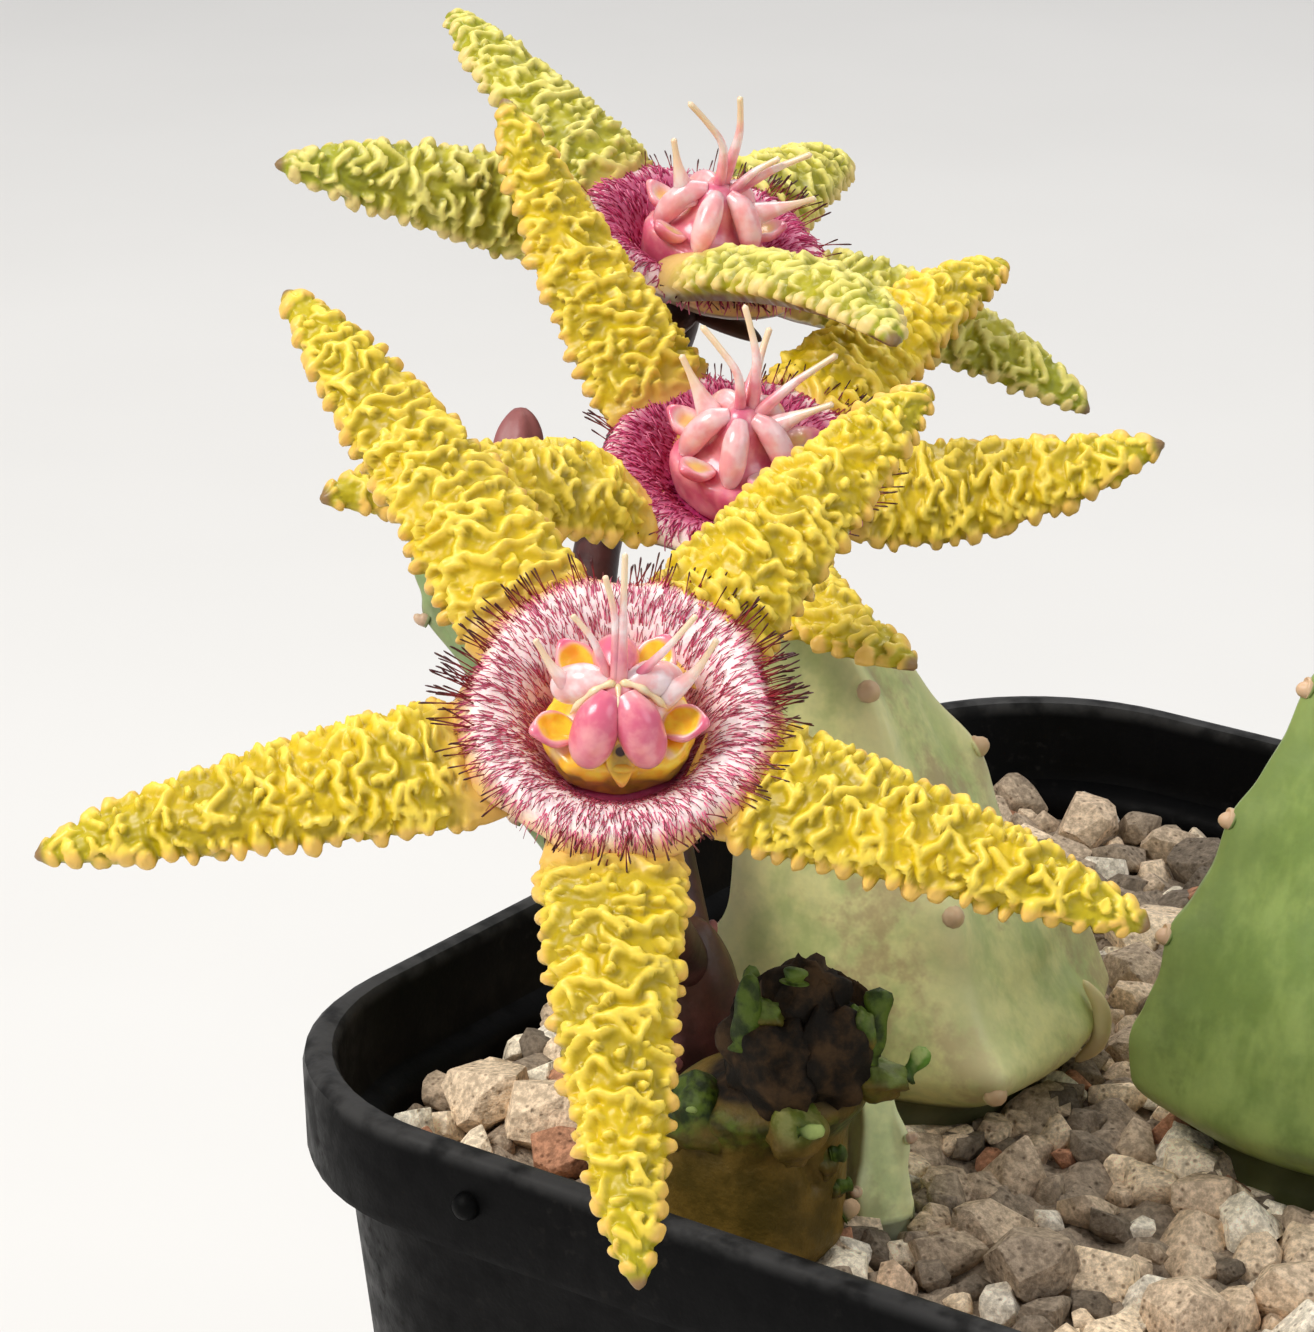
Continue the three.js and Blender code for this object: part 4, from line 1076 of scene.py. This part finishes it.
def discPoint(flower, turn, t):  # a point of the disc, and its distance from the middle
    point = onCurve(discLine, t)
    r, z = max(point.x, 0.0), point.z
    nearest = min(abs(fromHeading(turn, values[0])) for values in flower["arms"])
    r -= disc["notch"] * ramp(4.0, 5.9, r) * ramp(16, 34, nearest)
    z += 0.05 * wobble(r * 1.1 * cos(turn), r * 1.1 * sin(turn), flower["seed"] * 3.0) * ramp(2.5, 3.5, r)
    dx, dy, larger = flower["discAt"]
    outer = ramp(2.2, 4.2, r)
    r *= mix(1, larger, outer)
    return Vector((r * cos(turn) + mix(flower["crownAt"][0], dx, outer),
                   r * sin(turn) + mix(flower["crownAt"][1], dy, outer), z)), r


def makeDisc(flower):
    def place(turn, t):
        out = 1 - t
        point, r = discPoint(flower, turn, out)
        under = ramp(-0.45, -1.0, point.z) * ramp(4.0, 5.0, r) if out > 0.6 else 0.0
        return point, (r / 6.0, 0.0, 1.0 if out > 0.7 else under)
    piece = shapedBall("corolla_" + flower["name"] + "_disc", disc["sides"], disc["rows"], place)
    return moveMesh(piece, flowerFrame(flower))


def hairPattern(knobbed, cuts):
    # A tapering hair, a metre long until its copies are placed, bent or with a knobbed tip
    clearSelection()
    bpy.ops.mesh.primitive_cone_add(vertices=3, radius1=0.026, radius2=0.017, depth=1, location=(0, 0, 0.5))
    hair = applyPlace()
    startEdit()
    for cut in cuts:
        selectAll()
        bpy.ops.mesh.bisect(plane_co=(0, 0, cut), plane_no=(0, 0, 1))
    endEdit()
    for vertex in hair.data.vertices:
        if knobbed and 0.85 < vertex.co.z < 0.95:
            vertex.co.x *= 1.9
            vertex.co.y *= 1.9
        vertex.co.x += (0.07 if knobbed else 0.2) * vertex.co.z ** 2
    return hair


def hairSpot(flower, chosen, onRim):  # a turn, and the share along the disc's line for a chosen radius
    r = chosen.uniform(5.35, 5.85) if onRim else chosen.uniform(2.45, 5.75)
    turn = chosen.uniform(0, 2 * pi)
    if onRim and chosen.random() < 0.35:  # the longest stand in tufts at both sides
        turn = radians(chosen.choice((14, 160)) + chosen.gauss(0, 13))
    low, high = 0.08, 0.64
    for _ in range(12):
        middle = (low + high) / 2
        if discPoint(flower, turn, middle)[1] < r:
            low = middle
        else:
            high = middle
    return turn, low, high <= 0.635


def makeHairs(flower, patterns):
    # Short hairs lie outwards all over the disc, and long ones stand out round its rim
    chosen = random.Random(flower["seed"] * 17)
    stand = flowerFrame(flower)
    hairs = []
    while len(hairs) < flower["hairs"] + flower["rimHairs"]:
        onRim = len(hairs) >= flower["hairs"]
        turn, at, found = hairSpot(flower, chosen, onRim)
        if not found:
            continue
        point, _ = discPoint(flower, turn, at)
        side = polar(degrees(turn) + 90, 1)
        if onRim:
            outward, normal = polar(degrees(turn), 1), Vector((0, 0, 1))
            point -= outward * 0.1
            tilt, swing, length = chosen.uniform(6, 44), chosen.gauss(0, 0.16), chosen.uniform(0.75, 1.35)
            length *= 1 + 0.35 * max(0.0, abs(cos(turn)) - 0.6) / 0.4
        else:
            outward = (discPoint(flower, turn, at + 0.01)[0] - point).normalized()
            normal = outward.cross(side)
            if normal.z < 0:
                normal.negate()
            tilt, swing, length = chosen.uniform(8, 30), chosen.gauss(0, 0.1), chosen.uniform(0.38, 0.68)
        way = (outward * cos(radians(tilt)) + normal * sin(radians(tilt)) + side * swing).normalized()
        thick = chosen.uniform(0.8, 1.1) * (1.35 if onRim else flower["hairWidth"])
        bend = side * chosen.uniform(-1, 1) - normal
        x = (bend - way * bend.dot(way)).normalized()
        place = Matrix((x * thick, way.cross(x) * thick, way * length)).transposed().to_4x4()
        place.translation = point
        hair = copyOf(patterns[onRim], stand @ place)
        shade = chosen.random()
        setMarks(hair, [(vertex.co.z, shade, float(onRim)) for vertex in patterns[onRim].data.vertices])
        hairs.append(hair)
    return joinPieces("disc_hairs_" + flower["name"], hairs)


def petalFinish(name, valley, deep, crest, knob, tip, root, back):
    finish = Finish(name, Specular_IOR_Level=0.45, Subsurface_Weight=0.06, Subsurface_Scale=0.0008,
                    Subsurface_Radius=(1.0, 0.6, 0.15))
    relief, along, edge = finish.marks()
    colour = finish.mottle(deep, valley, 0.36, 0.66, 2.4, 3)
    colour = finish.blend(finish.step(along, 0.62, 1.0) * 0.75, colour, tip)
    raised = finish.step(relief + (finish.grain(0.25) - 0.5) * 0.2, 0.22, 0.85)
    colour = finish.blend(raised, colour, finish.blend(finish.step(edge, 0.15, 0.45), crest, knob))
    colour = finish.blend(finish.step(along, 0.20, 0.08), colour, root)
    colour = finish.blend(finish.step(along, 0.97, 0.99) * 0.8, colour, (0.22, 0.10, 0.07))  # the dry point
    behind = finish.mottle(back, (0.19, 0.075, 0.045), 0.35, 0.65, 1.2, 4)
    colour = finish.blend(finish.step(edge, 0.55, 0.85), colour, behind)
    return finish.set(Base_Color=colour, Normal=finish.bumps((0.25, 0.02, 0.16), (0.2, 0.08, 0.6)),
                      Roughness=finish.patches(0.3, 0.7, 0.5, start=0.36, end=0.52))


def discFinish(name, pale):
    finish = Finish(name, Specular_IOR_Level=0.4, Roughness=0.42,
                    Subsurface_Weight=0.1, Subsurface_Scale=0.001)
    out, _, under = finish.marks()
    colour = finish.colourRamp(
        out, (0.0, (0.45, 0.03, 0.10)), (1.0, (0.88, 0.56, 0.16)), (0.42, (0.62, 0.08, 0.19)),
        (0.52, (0.90, 0.50, 0.56)), (0.64, (1.0, 0.88, 0.88)), (0.88, (1.0, 0.84, 0.80)),
        (0.95, (0.90, 0.60, 0.34)))
    colour = finish.blend((1 - pale) * finish.step(out, 0.90, 0.74), colour, (0.46, 0.025, 0.14))
    colour = finish.blend(finish.patches(0.45, 0.66, 0.3, 3, 0.6) * 0.25, colour, (0.80, 0.22, 0.34))
    colour = finish.blend(under, colour, (0.22, 0.11, 0.05))
    return finish.set(Base_Color=colour, Normal=finish.bumps((0.5, 0.08, 0.3, 3)))


def hairFinish(name, roots, tips):
    finish = Finish(name, Specular_IOR_Level=0.4, Roughness=0.35)
    along, shade, rim = finish.marks()
    root, tip = finish.blend(shade, *roots), finish.blend(shade, *tips)
    colour = finish.blend(finish.step(along, 0.35, 0.85), root, tip)
    dark = finish.blend(finish.step(along, 0.3, 0.9), (0.30, 0.02, 0.03), (0.055, 0.004, 0.006))
    return finish.set(Base_Color=finish.blend(rim, colour, dark))


flowerFinishes = {
    "yellow_petal": petalFinish(
        "yellow_petal", valley=(0.68, 0.48, 0.004), deep=(0.44, 0.32, 0.002), crest=(0.89, 0.66, 0.07),
        knob=(0.88, 0.54, 0.11), tip=(0.42, 0.37, 0.004), root=(0.84, 0.50, 0.12), back=(0.34, 0.23, 0.07)),
    "green_yellow_petal": petalFinish(
        "green_yellow_petal", valley=(0.46, 0.41, 0.015), deep=(0.30, 0.28, 0.010), crest=(0.78, 0.69, 0.17),
        knob=(0.80, 0.62, 0.22), tip=(0.32, 0.35, 0.012), root=(0.76, 0.50, 0.16), back=(0.32, 0.26, 0.10)),
    "pink_disc": discFinish("pink_disc", 1.0),
    "magenta_disc": discFinish("magenta_disc", 0.08),
    "maroon_hair": hairFinish(
        "maroon_hair", ((0.95, 0.28, 0.44), (0.80, 0.09, 0.24)), ((0.36, 0.012, 0.04), (0.15, 0.005, 0.015))),
    "magenta_hair": hairFinish(
        "magenta_hair", ((0.40, 0.012, 0.09), (0.62, 0.06, 0.20)), ((0.78, 0.22, 0.36), (0.52, 0.05, 0.14))),
}


def makeCorollas():
    patterns = [hairPattern(False, (0.55,)), hairPattern(True, (0.5, 0.87, 0.94))]
    for flower in flowers:
        node = "corolla_" + flower["name"]
        arms = [growArm(3 + flower["seed"] * 10 + i, flower["sides"], flower["rows"], *values)
                for i, values in enumerate(flower["arms"])]
        petals = moveMesh(joinPieces(node + "_arms", arms), flowerFrame(flower))
        finishPiece(petals, flowerFinishes[flower["petal"]], flower["slot"], [node])
        finishPiece(makeDisc(flower), flowerFinishes[flower["disc"]], "crown_pink")
        finishPiece(makeHairs(flower, patterns), flowerFinishes[flower["hair"]], "crown_pink")
    for pattern in patterns:
        bpy.data.objects.remove(pattern)


makeCorollas()


# The crown in a flower's middle: a cup, five hollow lobes in line with the arms, and
# between the arms five swollen lobes, with long thin horns over them

crown = {
    "brim": 0.2, "lobe": 0.86, "hornTip": 0.1,
    # the cup's outline, up its outside to the top in its middle
    "cup": [(0, -1.8), (2.15, -1.8), (2.4, -1.68), (2.6, -0.9), (2.72, 0), (2.55, 0.25), (1.8, 0.3),
            (1.2, 0.8), (0.8, 2.1), (0.4, 2.55), (0, 2.6)],
    # the swollen lobes' middle line (distance from the axis, height), and that of the white ones at the sides
    "pinkLine": [(0.45, 2.25), (1.15, 2.05), (1.85, 1.25), (2.3, 0.05)],
    "whiteLine": [(0.3, 2.1), (1.0, 2.1), (1.75, 1.6), (2.3, 0.95)],
    # the hollow lobes' distance from the axis, height, slope and size, and those of the slit
    "hollow": (2.55, 0.62, -16, (0.95, 0.8, 1)), "slit": (1.98, 0.32, 43, (0.98, 0.56, 0.7)),
}


def crownCup(first, front, detail):
    profile = [Vector((r, 0, z)) for r, z in crown["cup"]]
    brim = crown["brim"]

    def place(turn, t):
        point = onCurve(profile, t)
        x, y, z = cos(turn), sin(turn), point.z
        aside = abs(fromHeading(turn, first))
        body = ramp(0.08, 0.3, t) * ramp(0.75, 0.5, t)
        lump = wobble(3 * x, 3 * y, z * 1.2) + 0.6 * wobble(7 * x, 7 * y, z)
        if front:  # yellow below with olive at its foot
            spread = mix(-0.12, 0.07, ramp(12, 50, aside)) - 0.16 * ramp(80, 115, aside)
            # The third mark is olive at the cup's foot: partly the cup's own olive, partly painted shade deep
            # in the well
            marks = (ramp(brim + 0.5, brim - 0.1, z) * (0.3 + 0.5 * ramp(-0.4, 0.2, lump)),
                     ramp(brim - 0.3, brim + 0.8, z), 0.32 * ramp(brim - 0.25, brim - 1.0, z + 0.4 * lump))
        else:
            spread, marks = -0.06 * cos(radians(5 * aside)), (0.0, 1.0, 0.0)
        r = max(point.x, 0) * (1 + spread * body + 0.05 * lump * body)
        return Vector((r * x, r * y, z)), marks
    return shapedBall("cup", round(80 * detail), round(50 * detail), place)


def hollowLobe(heading, slit, front, detail):
    # A spoon: hollow above its root, and drawn out to a point. The slit has a painted shadow for a hole, a
    # dark spot with no opening in the mesh, and olive deep in its hollow that is partly painted shade.
    def place(turn, t):
        x, y, z = onBall(turn, t)
        hollow = exp(-(abs(x + 0.12) / 0.7) ** 3.5 - (abs(y) / 0.7) ** 3.5) * ramp(-0.1, 0.5, z)
        lifted = z * 0.4 - hollow * 0.3 + (0 if slit else 0.2) * ramp(0.1, 1, x) + 0.12 * y * y
        point = Vector((x + 0.05 * max(x, 0) ** 3, y * mix(1, 0.62, ramp(0.1, 1, x)), lifted))
        paintedHole = exp(-((x + 0.36) / 0.2) ** 2 - (y / 0.4) ** 2) * ramp(0, 0.5, z)
        pink = mix(0.86, 1, ramp(0.2, 0.9, x)) * (1 - 0.7 * hollow)
        return point, (hollow * (1.1 if front else 0.35) + 0.35 * slit, pink,
                       (0.3 * hollow * ramp(-0.5, 0.0, x) + 1.3 * paintedHole) * slit)
    out, high, slope, size = crown["slit" if slit else "hollow"]
    lobe = shapedBall("hollow_lobe", round(36 * detail), round(30 * detail), place)
    fit = Matrix.Translation((out, 0, high)) @ turned(slope, "Y") @ Matrix.Diagonal((*size, 1))
    return moveMesh(lobe, turned(heading, "Z") @ fit)


def creamCord(heading, slit):  # over the join of two swollen lobes
    size, reach = (0.1, 1.45) if slit else (0.14, 1.9)
    points = [polar(heading, r, z) for r, z in ((0.05, 2.58), (0.7, 2.55), (1.25, 2.15), (reach, 1.4))]

    def radiusAt(t):
        return size * ramp(-0.05, 0.1, t) * ramp(1.05, 0.8, t) * (1 + 0.25 * sin(t * 17))
    return tube("cord", points, radiusAt, 12, 30, lambda t: (0.16, 0.0, 0.0))


def swollenLobe(heading, white, front, detail):  # from the middle out and down
    points = [polar(heading, r, z) for r, z in crown["whiteLine" if white else "pinkLine"]]
    full = crown["lobe"] * (0.85 if white else 1.0 if front else 0.66)

    def marksAt(t):
        return 0.0, 0.5 if white else mix(1.0, 0.8, ramp(0.4, 1, t)) if front else 0.7, 0.0
    return tube("swollen_lobe", points, lambda t: full * mix(0.6, 1, ramp(0, 0.5, t)) * blunt(t, 0.62, 2.2),
                round(36 * detail), round(36 * detail), marksAt)


def growHorn(root, middle, tip, radius, front, detail):
    root, middle, tip = Vector(root), Vector(middle), Vector(tip)
    bow = middle - root.lerp(tip, 0.5)
    points = [root, root.lerp(middle, 0.5) + bow * 0.15, middle, middle.lerp(tip, 0.55) + bow * 0.1, tip]
    pink = 0.5 if radius > 0.35 else 0.95

    def radiusAt(t):
        return (1.15 if front else 1.4) * mix(radius, crown["hornTip"], ramp(-0.2, 0.8, t)) * blunt(t, 0.97)
    return tube("horn", points, radiusAt, 14, round(46 * detail),
                lambda t: (0.0, mix(pink, 0.16, ramp(0.08, 0.8, t)), 0.0))


def makeCrown(flower):
    front = flower["name"] == "front"
    detail = 1.0 if front else 0.7
    first = flower["arms"][0][0] + (0 if front else 4)
    parts = [crownCup(first, front, detail)]
    for i in range(5):
        heading, slit = first + 72 * i, front and i == 0
        parts.append(hollowLobe(heading, slit, front, detail))
        if front and i in (0, 1, 4):
            parts.append(creamCord(heading, slit))
        between = heading + 36 + flower["lobeTurns"].get(i, 0)
        parts.append(swollenLobe(between, front and i in (1, 3), front, detail))
    parts += [growHorn(*values, front, detail) for values in flower["horns"]]
    piece = joinPieces("crown_" + flower["name"] + "_lobes", parts)
    return moveMesh(piece, flowerFrame(flower) @ Matrix.Translation((*flower["crownAt"], 0)))


def crownFinish():
    finish = Finish("pink_crown", Specular_IOR_Level=0.55, Subsurface_Weight=0.25, Subsurface_Scale=0.0012,
                    Subsurface_Radius=(1.0, 0.4, 0.3), Coat_Weight=0.5, Coat_Roughness=0.12, Roughness=0.3)
    hollow, pink, spot = finish.marks()
    cream = finish.mottle((0.94, 0.74, 0.48), (0.88, 0.62, 0.34), 0.35, 0.65, 0.8, 3)
    pale = finish.mottle((0.93, 0.46, 0.46), (0.98, 0.76, 0.76), 0.38, 0.62, 0.8, 3)
    flesh = finish.mottle((0.72, 0.13, 0.23), (0.88, 0.34, 0.37), 0.36, 0.68, 0.9, 3)
    yellow = finish.mottle((1.0, 0.50, 0.02), (1.0, 0.70, 0.04), 0.35, 0.65, 0.6, 3)
    olive = finish.mottle((0.30, 0.22, 0.02), (0.62, 0.42, 0.05), 0.35, 0.65, 0.7, 3)
    colour = finish.blend(finish.step(pink, 0.05, 0.45), cream, pale)
    colour = finish.blend(finish.step(pink, 0.55, 0.95), colour, flesh)
    colour = finish.blend(finish.step(hollow, 0.1, 0.5), colour, yellow)
    # Olive: partly the crown's own olive, partly painted shade at the cup's foot and in the slit's hollow
    colour = finish.blend(finish.step(spot, 0.05, 0.4), colour, olive)
    # Near black: the painted shadow of the slit's hole
    colour = finish.blend(finish.step(spot, 0.5, 0.85), colour, (0.05, 0.008, 0.004))
    return finish.set(Base_Color=colour, Normal=finish.bumps((0.2, 0.03, 0.3)))


pinkCrown = crownFinish()
for flower in flowers:
    finishPiece(makeCrown(flower), pinkCrown, "crown_pink", ["crown_" + flower["name"]])


# The branched stalk with the sepals behind each flower, and the bud

branches = {
    "fork": 62.5, "radius": 1.0, "neck": 3.4,
    "ways": {"front": (-11.8, -24.2, 69.5), "middle": (-17.4, -14.6, 70.5), "back": (-24.6, -9.6, 74.0)},
    # half width and half height of the swelling behind a flower, and a sepal's three half sizes
    "swelling": (1.35, 0.75), "sepal": (2.0, 0.95, 0.32),
    "sepalAt": 2.24, "sepalSink": 0.61, "sepalSlope": -2,
    "budWay": (-22.8, -15.0, 70.5), "budFoot": (-28.7, -9.8, 78.0), "budTip": (-29.2, -8.6, 81.2),
    "budRadius": 1.15,
}


def sepal(turn, t):  # a small pointed leaf
    y, z, x = onBall(turn, t)
    long, wide, thick = branches["sepal"]
    point = Vector((x * long, y * wide * (1 - 0.35 * x), z * thick - 0.1 * y * y - 0.12 * x * x))
    return point, (0, 0.7 + 0.3 * x, ramp(0.7, 1, x))


def bud(turn, t):  # five shallow folds that twist a little
    fold = 1 - 0.14 * (0.5 + 0.5 * cos(5 * turn + 1.2 * t))
    size = branches["budRadius"] * sqrt(sin(pi * min(max(t, 0), 1)) + 1e-9) * fold
    centre = Vector(branches["budFoot"]).lerp(Vector(branches["budTip"]), t)
    return centre + Vector((size * cos(turn), size * sin(turn), 0)), (0.5, 1, 1)


def stalkFinish():
    finish = Finish("maroon_stalk", Specular_IOR_Level=0.4, Roughness=0.45)
    onRib, high, light = finish.marks()
    colour = finish.mottle((0.030, 0.008, 0.008), (0.075, 0.020, 0.018), 0.36, 0.64, 1.4, 4)
    colour = finish.blend(finish.step(high, 0.5, 1.0) * 0.5, colour, (0.12, 0.06, 0.03))
    colour = finish.blend(light * onRib * 2, colour, (0.30, 0.10, 0.10))
    return finish.set(Base_Color=colour, Normal=finish.bumps((0.4, 0.08, 0.4, 3)))


def growBranch(points, first, last, sides, rows):
    return tube("branch", points, lambda t: branches["radius"] * mix(first, last, t), sides, rows,
                lambda t: (0.0, 0.3 + 0.6 * t, 0.0))


def flowerBack(flower, root):  # the branch to a flower, its swelling and five sepals
    stand = flowerFrame(flower)
    way, neck = Vector(branches["ways"][flower["name"]]), branches["neck"]
    points = [root, way, stand @ Vector((0, 0, -neck - 1.6)), stand @ Vector((0, 0, -neck))]
    parts = [growBranch(points, 1.1, 0.9, 20, 40)]
    wide, tall = branches["swelling"]
    backZ = -disc["depth"] - disc["thick"] - gap

    def swelling(turn, t):
        x, y, z = onBall(turn, t)
        return Vector((wide * x, wide * y, backZ - tall + tall * z)), (0, 0.6, 0)
    parts.append(moveMesh(shapedBall("calyx", 28, 16, swelling), stand))
    for i in range(5):
        parts.append(moveMesh(
            shapedBall("sepal", 20, 20, sepal), stand @ turned(flower["arms"][0][0] + 36 + 72 * i, "Z")
            @ Matrix.Translation((branches["sepalAt"], 0, backZ - branches["sepalSink"]))
            @ turned(branches["sepalSlope"], "Y")))
    return parts


def makeStalk():
    root = Vector((*stalk["top"][:2], branches["fork"]))
    parts = [stemBody(stalk, 40, 60, 0.12), *ribTeeth(stalk, 0.7, 0.35)]
    for flower in flowers:
        parts += flowerBack(flower, root)
    budRoot = Vector(branches["budFoot"]).lerp(Vector(branches["budTip"]), 0.15)
    parts.append(growBranch([root, Vector(branches["budWay"]), budRoot], 0.8, 0.7, 18, 36))
    parts.append(shapedBall("bud", 60, 30, bud))
    finishPiece(joinPieces("stalk_and_bud", parts), stalkFinish(), "stalk_skin", ["flower_stalk"])


makeStalk()

print("potted stapelia: all pieces made")
